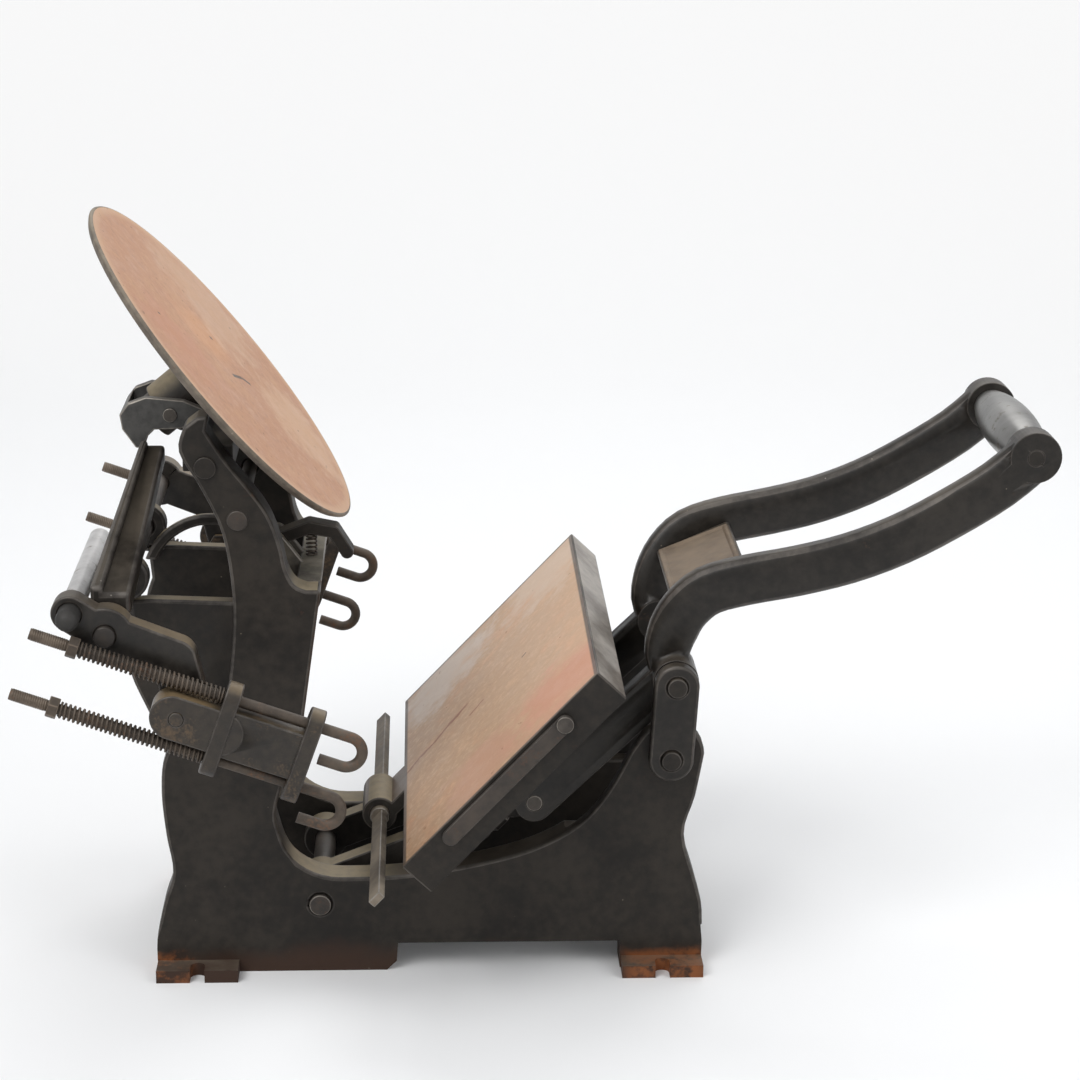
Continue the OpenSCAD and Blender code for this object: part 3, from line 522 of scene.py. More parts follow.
@dataclass(frozen=True)
class InkFilm:
    """A machined iron face under a thin dried film: pale and salmon clouds, stains, streaks, dark pits.

    The ring is given by its radius and by how far inside it the pale band starts and is full.
    """

    name: str
    slot: str
    film: Colour
    cloud: Colour
    pale: Colour
    dark: Colour
    cloud_share: float
    centre: Point = ORIGIN
    ring_r: float = 0.0
    ring: Span = (0.010, 0.003)
    ring_share: float = 0.8
    ring_stray: float = 0.004
    rise: Span | None = None
    rise_share: float = 0.6
    rise_stray: float = 0.06
    normal: Point = UP
    panel: Panel | None = None
    border: Cover = Cover((-0.0040, -0.0026), 0.85)
    stains: tuple[Stain, ...] = ()
    stain_stray: float = 1.4
    marks: tuple[Mark, ...] = ()
    mark_share: float = 0.9
    broad: Layer = Layer(0.06, 5.0, 0.62)
    middle: Layer = Layer(0.018, 5.0, 0.65)
    mottled: Layer = Layer(0.0048, 4.0, 0.65)
    grainy: Layer = Layer(0.0012, 2.0, 0.5)
    scratched: Layer = Layer(0.012, 3.0, 0.5)
    pitted: Layer = Layer(0.03)
    pale_clouds: Cover = Cover((0.52, 0.72), 0.35)
    pale_mottle: Cover = Cover((0.50, 0.66), 0.34)
    dark_mottle: Cover = Cover((0.46, 0.34), 0.16)
    dark_grain: Cover = Cover((0.12, 0.3), 0.12)
    scratches: Cover = Cover((0.70, 0.76), 0.4)
    scratch_stretch: Point = (0.12, 1.0, 2.4)
    pits: Cover = Cover((0.55, 0.62), 0.8)
    pit: Span = (0.016, 0.06)
    rough: float = 0.42
    metal: float = 0.12
    relief: float = 0.00008

    def _mark(self, g: Graph, mark: Mark, stray: Field) -> Field:
        """The cover of a mark: 1 within its width between its two ends.

        Args:
            g: The graph.
            mark: The mark.
            stray: Noise around 0 that bends it.

        Returns:
            The field.
        """
        start, end = Vector(mark.start), Vector(mark.end)
        way = (end - start).normalized()
        side = Vector(self.normal).cross(way)
        half = 0.5 * (end - start).length
        place = g.from_point(tuple((start + end) * 0.5))
        off = (g.along(place, tuple(side)) + stray * mark.stray).size().step(mark.width, 0.4 * mark.width)
        return off * g.along(place, tuple(way)).size().step(half, 0.8 * half)

    def _clouded(self, g: Graph, broad: Field, middle: Field) -> Field:
        """Colour of the film: clouds, pale and dark mottle, a pale ring, a rise towards pale, and stains.

        Args:
            g: The graph.
            broad: The broad noise.
            middle: The middle noise.

        Returns:
            The colour.
        """
        cloudy = (broad * 0.7 + middle * 0.3).step(0.62 - 0.3 * self.cloud_share, 0.72)
        mottle = g.noise(self.mottled)
        colour = g.mix(cloudy, self.film, self.cloud)
        colour = g.mix(self.pale_clouds.of(middle), colour, self.pale)
        colour = g.mix(self.pale_mottle.of(mottle), colour, self.pale)
        colour = g.mix(self.dark_mottle.of(mottle), colour, self.dark)
        if self.ring_r:
            reach = g.length(g.from_point(self.centre)) + (middle - MIDDLE) * self.ring_stray
            ring = reach.step(*(self.ring_r - inset for inset in self.ring))
            colour = g.mix(ring * self.ring_share, colour, self.pale)
        if self.rise:
            height = g.along(g.place(), UP) + (broad - MIDDLE) * self.rise_stray
            colour = g.mix(height.step(*self.rise) * self.rise_share, colour, self.pale)
        for stain in self.stains:
            stray = (broad + middle - 2.0 * MIDDLE) * stain.reach * self.stain_stray
            reach = g.length(g.from_point(stain.centre)) + stray
            colour = g.mix(reach.step(stain.reach, 0.35 * stain.reach) * stain.share, colour, stain.colour)
        return colour

    def make(self) -> bpy.types.Material:
        """Builds the material: the clouded film, dark grain, scratches and pits, then marks and the bare rim.

        Returns:
            The material.
        """
        g = Graph(bpy.data.materials.new(self.name))
        broad, middle, grain = (g.noise(layer) for layer in (self.broad, self.middle, self.grainy))
        colour = self._clouded(g, broad, middle)
        colour = g.mix(self.dark_grain.of((grain - MIDDLE).size()), colour, self.dark)
        scratches = self.scratches.of(g.noise(self.scratched, g.stretched(self.scratch_stretch)))
        worn = scratches.most(g.specks(*self.pit) * self.pits.of(g.noise(self.pitted)))
        colour = g.mix(worn, colour, self.dark)
        for mark in self.marks:
            colour = g.mix(self._mark(g, mark, middle - MIDDLE) * self.mark_share, colour, mark.colour)
        if self.panel:
            colour = g.mix(self.border.of(self.panel.outside(g)), colour, BARE_RIM)
        rough = self.rough + (middle - MIDDLE) * 0.3 + worn * 0.2
        sockets = {"Base Color": colour, "Roughness": rough, "Metallic": self.metal}
        return g.surface(sockets, grain + middle * 0.6, self.relief)


@dataclass(frozen=True)
class Backdrop:
    """The plain pale ground the press stands on."""

    name: str
    colour: Colour
    fade: Span = (1.0, 2.6)
    cloudy: Layer = Layer(0.6, 2.0, 0.5)
    tone: Cover = Cover((0.3, 0.7), 0.3)
    tone_depth: float = 0.985
    rough: float = 0.9

    def make(self) -> bpy.types.Material:
        """Builds an even, dull surface with a faint tone in it that the camera sees fade to the sky's tone far off.

        Returns:
            The material.
        """
        g = Graph(bpy.data.materials.new(self.name))
        darker = tuple(self.tone_depth * c for c in self.colour)
        colour = g.mix(self.tone.of(g.noise(self.cloudy)), self.colour, darker)
        seen = g.node("ShaderNodeLightPath").out("Is Camera Ray")
        far = g.length(g.place()).step(*self.fade) * seen
        sockets = {"Base Color": g.mix(far, colour, BLACK), "Roughness": self.rough,
                   "Emission Color": g.mix(far, BLACK, SKY), "Emission Strength": 1.0}
        return g.surface(sockets)


class Finish(Enum):
    """The finishes of this press."""

    PAINT = Iron(
        "old_black_paint", "painted_iron", (0.0088, 0.0071, 0.0057), (0.027, 0.0217, 0.0167), (0.040, 0.019, 0.011),
        rusty_foot=0.8, dust=(0.20, 0.165, 0.125), dust_share=0.55, gloss=0.30,
        drifts=(((-0.125, 0.0, 0.085), 0.050), ((-0.147, 0.0, 0.247), 0.026), ((-0.228, 0.0, 0.236), 0.045),
                ((-0.232, 0.0, 0.350), 0.030)))
    # Edge finish of painted pieces: rubbed paint, and its lighter colour is also a painted highlight on the rounded
    # edges.
    PAINT_EDGE_WEAR_AND_HIGHLIGHT = Iron(
        "rubbed_paint_edge_and_painted_highlight", "painted_iron", (0.022, 0.0185, 0.016), (0.085, 0.074, 0.064), (0.075, 0.037, 0.02),
        metal=0.35, rough=0.46, rusty_foot=0.9, dust_share=0.2, gloss=0.4)
    IRON = Iron(
        "bare_brown_iron", "bare_iron", (0.030, 0.025, 0.021), (0.085, 0.072, 0.060), (0.11, 0.055, 0.028),
        rust_share=0.4, metal=0.4, dust_share=0.25)
    IRON_EDGE = Iron(
        "rubbed_iron_edge", "bare_iron", (0.10, 0.088, 0.076), (0.26, 0.235, 0.205), (0.18, 0.10, 0.055), metal=0.55,
        rough=0.42, dust_share=0.2)
    RUST = Iron(
        "brown_rusted_steel", "rusty_steel", (0.034, 0.025, 0.018), (0.090, 0.067, 0.048), (0.095, 0.047, 0.023),
        rust_share=0.6, metal=0.3, speck_share=0.2, dust_share=0.15)
    RUST_EDGE = Iron(
        "rubbed_rusted_edge", "rusty_steel", (0.080, 0.060, 0.044), (0.18, 0.14, 0.105), (0.14, 0.07, 0.036),
        rust_share=0.4, metal=0.45, dust_share=0.15)
    STAINED = Iron(
        "stained_brown_iron", "bare_iron", (0.018, 0.0145, 0.012), (0.050, 0.038, 0.029), (0.058, 0.030, 0.017),
        rust_share=0.6, dust_share=0.2, metal=0.2)
    PLAIN = Iron(
        "plain_satin_paint", "painted_iron", (0.0080, 0.0066, 0.0054), (0.024, 0.0200, 0.0160), (0.045, 0.024, 0.014),
        dust=(0.20, 0.165, 0.125), dust_share=0.4, rough=0.38, gloss=0.34)
    SATIN = Iron(
        "rubbed_satin_paint", "painted_iron", (0.0090, 0.0076, 0.0064), (0.027, 0.0226, 0.0182),
        (0.045, 0.024, 0.014), dust=(0.22, 0.18, 0.135), dust_share=0.55, rough=0.38, gloss=0.38,
        drifts=(((-0.228, 0.0, 0.236), 0.045),), drift=(0.20, 0.155, 0.10))
    SADDLE = Iron(
        "worn_brown_casting", "painted_iron", (0.0125, 0.0098, 0.0074), (0.036, 0.0275, 0.0195),
        (0.072, 0.044, 0.021), dust=(0.24, 0.18, 0.11), rust_share=0.75, dust_share=0.75, speck_share=0.4, rough=0.36,
        metal=0.25, drifts=(((-0.207, 0.0, 0.221), 0.022),), drift=(0.20, 0.14, 0.075))
    BRIGHT = BrightSteel(
        "rubbed_bright_steel", "bright_steel", (0.66, 0.645, 0.63), (0.18, 0.12, 0.08), dull_below_y=-0.150)
    GRIP = BrightSteel("rubbed_grey_grip", "bright_steel", (0.245, 0.240, 0.230), (0.10, 0.075, 0.055), rough=0.36)
    BED = Iron(
        "dusty_bare_bed", "bare_iron", (0.060, 0.052, 0.042), (0.15, 0.13, 0.10), (0.11, 0.06, 0.03),
        dust=(0.42, 0.38, 0.30), dust_share=1.0, metal=0.1, rough=0.75, grain=0.0003)
    WORN = Iron(
        "worn_platen_edge", "bare_iron", (0.17, 0.142, 0.117), (0.43, 0.385, 0.335), (0.13, 0.08, 0.05),
        dust=(0.6, 0.58, 0.55), dust_share=0.5, metal=0.6, rough=0.4, grain=0.0003)
    DUSTY = Iron(
        "dusty_brown_iron", "bare_iron", (0.075, 0.060, 0.046), (0.20, 0.165, 0.125), (0.15, 0.075, 0.038),
        rust_share=0.45, dust=(0.34, 0.29, 0.22), dust_share=0.6, metal=0.2, rough=0.62)
    GREY = Iron(
        "rubbed_grey_iron", "painted_iron", (0.026, 0.025, 0.0235), (0.075, 0.072, 0.067), (0.05, 0.03, 0.02),
        dust=(0.30, 0.27, 0.23), dust_share=0.6, metal=0.3, rough=0.45, gloss=0.4)
    NAME_PLATE = Iron(
        "bare_brown_plate", "painted_iron", (0.080, 0.056, 0.036), (0.160, 0.115, 0.076), (0.11, 0.06, 0.03),
        dust=(0.24, 0.19, 0.135), dust_share=0.3, metal=0.2, rough=0.6)
    DISC = InkFilm(
        "salmon_disc_film", "ink_film", (0.438, 0.198, 0.089), (0.49, 0.248, 0.122), (0.545, 0.320, 0.177),
        (0.060, 0.045, 0.036), 0.6, centre=(-0.19388, 0.0, 0.3703), ring_r=0.1194, normal=(0.77273, 0.0, 0.63473),
        stains=(Stain((-0.2085, 0.004, 0.3880), 0.034, (0.58, 0.27, 0.105), 0.6),
                Stain((-0.150, 0.040, 0.317), 0.050, (0.60, 0.37, 0.215), 0.6),
                Stain((-0.212, 0.070, 0.392), 0.060, (0.58, 0.37, 0.23), 0.5),
                Stain((-0.215, -0.060, 0.396), 0.045, (0.48, 0.185, 0.085), 0.5)),
        marks=(Mark((-0.18842, -0.01232, 0.36365), (-0.18366, 0.0042, 0.35786), 0.0018, INK),
               Mark((-0.18406, 0.0036, 0.35834), (-0.17895, 0.01086, 0.35212), 0.0018, INK),
               Mark((-0.2275, -0.0575, 0.41124), (-0.2264, -0.0551, 0.4099), 0.0012, INK),
               Mark((-0.2035, 0.0114, 0.38207), (-0.2019, 0.0142, 0.38007), 0.0019, (0.05, 0.035, 0.025))))
    PLATE = InkFilm(
        "beige_platen_film", "ink_film", (0.395, 0.232, 0.122), (0.52, 0.232, 0.115), (0.64, 0.425, 0.270),
        (0.20, 0.07, 0.03), 0.4, rise=(0.08, 0.27), normal=(-0.72657, 0.0, 0.68709),
        panel=Panel((-0.08713, 0.0, 0.09828), (0.68709, 0.0, 0.72657), 0.165, 0.1443),
        stains=(Stain((0.010, -0.105, 0.200), 0.055, (0.55, 0.235, 0.135), 0.75),
                Stain((-0.040, -0.110, 0.148), 0.045, (0.50, 0.25, 0.155), 0.6),
                Stain((-0.060, 0.115, 0.127), 0.060, (0.56, 0.47, 0.40), 0.7),
                Stain((0.010, 0.110, 0.200), 0.060, (0.60, 0.46, 0.35), 0.6)),
        marks=(Mark((-0.088, 0.0005, 0.0973), (-0.0446, 0.0206, 0.1433), 0.0026, (0.22, 0.065, 0.022), 0.012),
               Mark((-0.046, -0.006, 0.1418), (-0.036, -0.002, 0.1523), 0.0016, (0.25, 0.08, 0.03), 0.006),
               Mark((-0.0125, 0.004, 0.1773), (-0.0095, 0.0055, 0.1805), 0.0011, (0.03, 0.02, 0.015))))
    GROUND = Backdrop("pale_ground", (0.86, 0.86, 0.86))


@cache
def material(finish: Finish) -> bpy.types.Material:
    """The material of a finish, made on first use."""
    return finish.value.make()


SHARP_DEG = 35.0


def shade(mesh: bpy.types.Mesh, smoothing: Smoothing, angle: float = SHARP_DEG) -> None:
    """Sets how a mesh's faces are shaded.

    Args:
        mesh: The mesh.
        smoothing: The way.
        angle: For BY_ANGLE, edges bent further than this stay sharp, in degrees.
    """
    mesh.polygons.foreach_set("use_smooth", np.ones(len(mesh.polygons), dtype=bool))
    if smoothing is Smoothing.BY_ANGLE:
        mesh.set_sharp_from_angle(angle=math.radians(angle))
    mesh.update()


def grid_mesh(name: str, points: np.ndarray, closed: bool = False) -> bpy.types.Object:
    """Makes a mesh from a grid of points; a quad joins each point to the next along both directions.

    Args:
        name: Name of the object.
        points: Array of shape (u, v, 3).
        closed: Whether the last column joins the first.

    Returns:
        The new object, linked into the scene.
    """
    nu, nv = points.shape[:2]
    u = np.arange(nu - 1)[:, None]
    v = np.arange(nv if closed else nv - 1)[None, :]
    v1 = (v + 1) % nv
    quads = np.stack([u * nv + v, (u + 1) * nv + v, (u + 1) * nv + v1, u * nv + v1], axis=-1).reshape(-1, 4)
    mesh = bpy.data.meshes.new(name)
    mesh.from_pydata(points.reshape(-1, 3).tolist(), [], quads.tolist())
    mesh.update()
    obj = bpy.data.objects.new(name, mesh)
    bpy.context.scene.collection.objects.link(obj)
    return obj


SAME_POINT = 1e-7


def tube(name: str, rings: np.ndarray, axis: Point, start: Point, finish: Finish) -> bpy.types.Object:
    """Makes a smooth closed-round surface from rings along Z, turned to an axis and moved to its start.

    Args:
        name: Name of the object.
        rings: Array of shape (rings, sides, 3).
        axis: The way that Z is turned to.
        start: Where the origin goes.
        finish: The finish.

    Returns:
        The new object, its doubled points merged and its faces turned outwards.
    """
    turn = np.array(Vector(UP).rotation_difference(Vector(axis)).to_matrix())
    obj = grid_mesh(name, rings @ turn.T + np.array(start), closed=True)
    shape = bmesh.new()
    shape.from_mesh(obj.data)
    bmesh.ops.remove_doubles(shape, verts=shape.verts, dist=SAME_POINT)
    bmesh.ops.recalc_face_normals(shape, faces=shape.faces)
    shape.to_mesh(obj.data)
    shape.free()
    shade(obj.data, Smoothing.SMOOTH)
    obj.data.materials.append(material(finish))
    return obj


LOWEST = -1.0
HIGHEST = 9.0


@dataclass(frozen=True)
class Face:
    """A finish for the faces of a piece that look one way, between two heights."""

    direction: Point
    finish: Finish
    levels: Span = (LOWEST, HIGHEST)


@dataclass(frozen=True)
class Taper:
    """Where a rounding narrows: around bosses and towards hollow corners.

    A boss is given by its place seen from the side and its reach; level is how far across the press a hollow
    corner still counts, and clear is the distance from it at which the rounding starts to widen.
    """

    bosses: tuple[tuple[float, float, float], ...]
    span: float
    least: float
    level: float = 0.0006
    clear: float = 0.004

    def share(self, middle: Vector, hollows: np.ndarray) -> float:
        """The share of the full width that an edge gets.

        It is the distance to the nearest boss's reach or hollow corner in the edge's own level across the press,
        over the span, held between the least share and 1.

        Args:
            middle: The middle of the edge.
            hollows: Points of the hollow edges, shape (n, 3).

        Returns:
            The share.
        """
        room = [math.hypot(middle.x - x, middle.z - z) - reach for x, z, reach in self.bosses]
        beside = hollows[np.abs(hollows[:, 1] - middle.y) < self.level]
        if len(beside):
            room.append(float(np.linalg.norm(beside - np.array(middle), axis=1).min()) - self.clear)
        return min(1.0, max(self.least, min(room) / self.span))


MERGE = 4e-6  # points nearer than this are one
FLAT_DEG = 0.5  # faces bent less than this are one
BENT_DEG = 32.0  # outward edges bent more than this are rounded
HOLLOW_DEG = 20.0
ROUND_SEGMENTS = 3
LOOKS_ALIKE = 0.99  # cosine between a face's normal and the way it has to look
EDGE_SLOT = 1


def hollow_points(shape: bmesh.types.BMesh) -> np.ndarray:
    """Ends and middles of a mesh's hollow edges that are clearly bent.

    Args:
        shape: The mesh.

    Returns:
        An array of shape (n, 3).
    """
    hollow = [rim for rim in shape.edges
              if rim.is_manifold and not rim.is_convex and rim.calc_face_angle() > math.radians(HOLLOW_DEG)]
    ends = np.array([[rim.verts[0].co, rim.verts[1].co] for rim in hollow]).reshape(-1, 2, 3)
    return np.concatenate([ends[:, 0], ends[:, 1], ends.mean(axis=1)])


@dataclass(frozen=True)
class SoftPiece:
    """A copy of a node with rounded edges, lighter as rubbed wear and, on painted pieces, also as a painted
    highlight, that stands in its place.

    The copy's doubled points are merged and flat faces joined; every outward edge that is bent far enough and lies
    above a height is rounded over the width, and the rounded strips take the edge finish.
    """

    node: str
    width: float
    finish: Finish
    edge: Finish
    faces: tuple[Face, ...] = ()
    taper: Taper | None = None
    above: float = LOWEST

    def _merged(self, source: bpy.types.Object) -> bpy.types.Mesh:
        """Copies the node's mesh, merged, with the share of the rounding on each edge.

        Args:
            source: The node's object.

        Returns:
            The new mesh.
        """
        shape = bmesh.new()
        shape.from_mesh(source.data)
        bmesh.ops.remove_doubles(shape, verts=shape.verts, dist=MERGE)
        bmesh.ops.dissolve_limit(shape, angle_limit=math.radians(FLAT_DEG), verts=shape.verts, edges=shape.edges)
        weight = shape.edges.layers.float.new("bevel_weight_edge")
        hollows = hollow_points(shape) if self.taper else None
        for rim in shape.edges:
            start, end = (corner.co for corner in rim.verts)
            bent = rim.is_manifold and rim.is_convex and rim.calc_face_angle() > math.radians(BENT_DEG)
            if bent and min(start.z, end.z) > self.above:
                rim[weight] = self.taper.share((start + end) * 0.5, hollows) if self.taper else 1.0
        mesh = bpy.data.meshes.new("soft_" + self.node)
        shape.to_mesh(mesh)
        shape.free()
        return mesh

    def _paint(self, mesh: bpy.types.Mesh) -> None:
        """Gives the faces their finishes by the way they look and their height.

        Args:
            mesh: The merged mesh.
        """
        mesh.materials.clear()
        for finish in (self.finish, self.edge, *(face.finish for face in self.faces)):
            mesh.materials.append(material(finish))
        which = np.zeros(len(mesh.polygons), dtype=np.int32)
        normals, centres = np.empty((2, len(mesh.polygons) * 3), dtype=np.float32)
        mesh.polygons.foreach_get("normal", normals)
        mesh.polygons.foreach_get("center", centres)
        height = centres.reshape(-1, 3)[:, 2]
        for number, face in enumerate(self.faces, start=EDGE_SLOT + 1):
            looks = normals.reshape(-1, 3) @ np.array(face.direction, dtype=np.float32) > LOOKS_ALIKE
            which[looks & (height > face.levels[0]) & (height < face.levels[1])] = number
        mesh.polygons.foreach_set("material_index", which)

    def build(self) -> bpy.types.Object:
        """Makes the copy and stands it for the node.

        Returns:
            The new object.
        """
        source = frame["nodes"][self.node]
        mesh = self._merged(source)
        self._paint(mesh)
        shade(mesh, Smoothing.BY_ANGLE, BENT_DEG)
        obj = bpy.data.objects.new("soft_" + self.node, mesh)
        bpy.context.scene.collection.objects.link(obj)
        bevel = obj.modifiers.new("rounding", "BEVEL")
        bevel.width = self.width
        bevel.segments = ROUND_SEGMENTS
        bevel.limit_method = "WEIGHT"
        bevel.use_clamp_overlap = False
        bevel.harden_normals = True
        # the rounded strips take the edge finish: rubbed wear, and on painted pieces also a painted highlight
        bevel.material = EDGE_SLOT
        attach(obj, source["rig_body"])
        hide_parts(self.node)
        return obj


def soft(names: str, width: float, finish: Finish, edge: Finish, **more: Any) -> tuple[SoftPiece, ...]:
    """Softened pieces that share their treatment, from their names with spaces between."""
    return tuple(SoftPiece(name, width, finish, edge, **more) for name in names.split())


@dataclass(frozen=True)
class Assembly:
    """A group of pieces: some are softened copies, some keep the node's shape."""

    name: str
    softened: tuple[SoftPiece, ...]
    kept: tuple[tuple[str, Finish], ...] = ()

    def build(self) -> None:
        """Makes the softened copies."""
        for piece in self.softened:
            piece.build()
            LOG.info("%s: softened %s", self.name, piece.node)

    def dress(self) -> None:
        """Gives the nodes that keep their shape their finishes."""
        for node, finish in self.kept:
            materials = frame["nodes"][node].data.materials
            materials.clear()
            materials.append(material(finish))
            LOG.info("%s: dressed %s", self.name, node)


@dataclass
class WoundSpring:
    """A round-wire spring: a circle carried along a helix whose end turns lie flat."""

    node: str
    start: Point
    axis: Point
    length: float
    radius: float
    wire_r: float
    turns: float
    joint: str | None = None
    keep: float = 1.0
    rings_per_turn: int = 28
    sides: int = 12
    end_turns: float = 1.2
    end_rate: float = 0.12
    tip: float = 1e-3

    def _line(self) -> tuple[np.ndarray, np.ndarray]:
        """Points and outward directions of the centre line.

        The angle grows evenly; the height is the integral of a rate that is small over the first and last turn
        and even between, scaled so that the wire fills the spring's length.

        Returns:
            Two arrays of shape (rings, 3), in the spring's own frame along Z.
        """
        share = np.linspace(0.0, 1.0, int(self.turns * self.rings_per_turn) + 1)
        angle = 2.0 * np.pi * self.turns * share
        ends = np.minimum(share, 1.0 - share) * self.turns
        rate = np.clip(ends / self.end_turns, self.end_rate, 1.0)
        height = np.concatenate([[0.0], np.cumsum(0.5 * (rate[1:] + rate[:-1]))])
        height = self.wire_r + (self.length - 2.0 * self.wire_r) * height / height[-1]
        out = np.stack([np.cos(angle), np.sin(angle), np.zeros_like(angle)], axis=1)
        return out * self.radius + height[:, None] * np.array(UP), out

    def build(self) -> bpy.types.Object:
        """Carries the wire's circle, closed to a tip at both ends, along the line and stands it for the node.

        Returns:
            The new object.
        """
        line, out = self._line()
        tangent = np.gradient(line, axis=0)
        tangent /= np.linalg.norm(tangent, axis=1, keepdims=True)
        side = np.cross(tangent, out)
        side /= np.linalg.norm(side, axis=1, keepdims=True)
        around = 2.0 * np.pi * np.arange(self.sides) / self.sides
        ring = np.cos(around)[None, :, None] * out[:, None, :] + np.sin(around)[None, :, None] * side[:, None, :]
        scale = np.ones(len(line))
        scale[[0, -1]] = self.tip
        rings = line[:, None, :] + self.wire_r * scale[:, None, None] * ring
        obj = tube("wound_" + self.node, rings, self.axis, self.start, Finish.RUST)
        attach(obj, frame["nodes"][self.node]["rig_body"])
        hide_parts(self.node)
        if self.joint:
            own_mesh(obj)
        return obj


@dataclass
class RollerSprings:
    """The four hook springs on their rods and the small spring below the chase clamp."""

    saddle: Point = (-0.18718, 0.182, 0.1995)
    slope_deg: float = 19.5
    spacing: float = 0.0372
    plate: float = 0.0045
    gap: float = 0.0004
    length: float = 0.084
    rod_r: float = 0.003175
    slack: float = 0.00035
    wire_r: float = 0.00068
    turns: float = 32.0
    travel: float = 0.040
    nut: float = 0.006
    over: float = 0.022
    thread_inset: float = 0.0003
    clamp_r: float = 0.0032
    clamp_wire_r: float = 0.0005
    clamp_turns: float = 6.0

    def build(self) -> None:
        """Winds each spring where its node is and cuts the thread on each rod's end."""
        slope = math.radians(self.slope_deg)
        along = np.array([math.cos(slope), 0.0, -math.sin(slope)])
        up = np.array([math.sin(slope), 0.0, math.cos(slope)])
        radius = self.rod_r + self.slack + self.wire_r
        for name in HOOKS:
            side, level = (-1.0 if "near" in name else 1.0), (0.5 if "upper" in name else -0.5)
            seat = np.array([self.saddle[0], side * self.saddle[1], self.saddle[2]]) + up * level * self.spacing
            start = seat - along * (self.plate + self.gap + self.length)
            WoundSpring(
                f"spring_{name}", tuple(start), tuple(along), self.length, radius, self.wire_r, self.turns,
                f"hook_{name}_slide", 1.0 - self.travel / self.length,
            ).build()
            end = start - along * (self.gap + self.nut + self.over - self.thread_inset)
            RodThread(name, tuple(end), tuple(along)).build()
            LOG.info("roller frame: wound spring_%s and cut the thread of hook_%s", name, name)
        low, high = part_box("clamp_spring")
        WoundSpring(
            "clamp_spring", (0.5 * (low.x + high.x), 0.0, low.z), UP, high.z - low.z, self.clamp_r,
            self.clamp_wire_r, self.clamp_turns,
        ).build()
        LOG.info("bed: wound clamp_spring")


@dataclass
class RodThread:
    """The cut thread on the end of a hook rod: a circle whose radius follows a ridge that winds along the rod."""

    hook: str
    start: Point
    axis: Point
    length: float = 0.0214
    root: float = 0.00320
    depth: float = 0.00042
    pitch: float = 0.00127
    sides: int = 36
    rows_per_turn: int = 10

    def build(self) -> bpy.types.Object:
        """Sweeps the thread and lets it ride with its hook.

        The radius is the root plus the depth times a triangle wave of the place along the rod, in pitches, less
        the share of a turn around it; it falls to the root at both ends.

        Returns:
            The new object.
        """
        along = np.linspace(0.0, self.length, int(self.length / self.pitch * self.rows_per_turn) + 1)[:, None]
        around = (2.0 * np.pi * np.arange(self.sides) / self.sides)[None, :]
        phase = np.mod(along / self.pitch - around / (2.0 * np.pi), 1.0)
        ends = np.clip(np.minimum(along, self.length - along) / self.pitch, 0.0, 1.0)
        radius = self.root + self.depth * ends * (1.0 - np.abs(2.0 * phase - 1.0))
        local = np.stack(np.broadcast_arrays(radius * np.cos(around), radius * np.sin(around), along), axis=-1)
        obj = tube("thread_" + self.hook, local, self.axis, self.start, Finish.RUST_EDGE)
        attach(obj, frame["nodes"]["hook_" + self.hook]["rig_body"])
        return obj


@dataclass
class YokePlate:
    """The bare plate in a raised border on the handle's yoke."""

    centre: Point = (0.10053, 0.0, 0.23783)
    slope_deg: float = 22.0
    lift: float = 0.0040
    length: float = 0.0480
    half_width: float = 0.0500
    border: float = 0.0030
    panel_rise: float = 0.0006
    border_rise: float = 0.0018
    flank: float = 0.0008
    sunk: float = 0.0004
    columns: int = 60
    rows: int = 90

    def build(self) -> bpy.types.Object:
        """Raises a panel and its border over the yoke as one surface of heights.

        The height is the panel's rise, plus the border's where the distance to the nearest edge lies within the
        border, and it falls to below the yoke's face at the outermost points.

        Returns:
            The new object.
        """
        u = np.linspace(-0.5 * self.length, 0.5 * self.length, self.columns)[:, None]
        v = np.linspace(-self.half_width, self.half_width, self.rows)[None, :]
        inset = np.minimum(0.5 * self.length - np.abs(u), self.half_width - np.abs(v))
        outer = np.clip(inset / self.flank, 0.0, 1.0)
        inner = np.clip((inset - self.border) / self.flank, 0.0, 1.0)
        height = -self.sunk + outer * (self.sunk + self.border_rise) - inner * (self.border_rise - self.panel_rise)
        slope = math.radians(self.slope_deg)
        x = self.centre[0] + u * math.cos(slope) - (self.lift + height) * math.sin(slope)
        z = self.centre[2] + u * math.sin(slope) + (self.lift + height) * math.cos(slope)
        points = np.stack(np.broadcast_arrays(x, v + self.centre[1], z), axis=-1)
        obj = grid_mesh("yoke_plate", points)
        shade(obj.data, Smoothing.BY_ANGLE)
        obj.data.materials.append(material(Finish.NAME_PLATE))
        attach(obj, frame["nodes"]["handle"]["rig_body"])
        return obj


@dataclass(frozen=True)
class Lamp:
    """A square soft lamp: where it hangs, what it points at, its side in metres and its power in watts."""

    name: str
    place: Point
    target: Point
    size: float
    watts: float

    def hang(self) -> None:
        """Puts the lamp into the scene."""
        data = bpy.data.lights.new(self.name, "AREA")
        data.shape = "SQUARE"
        data.size = self.size
        data.energy = self.watts
        obj = bpy.data.objects.new(self.name, data)
        turn = (Vector(self.target) - Vector(self.place)).to_track_quat("-Z", "Y").to_matrix().to_4x4()
        obj.matrix_world = Matrix.Translation(self.place) @ turn
        bpy.context.scene.collection.objects.link(obj)


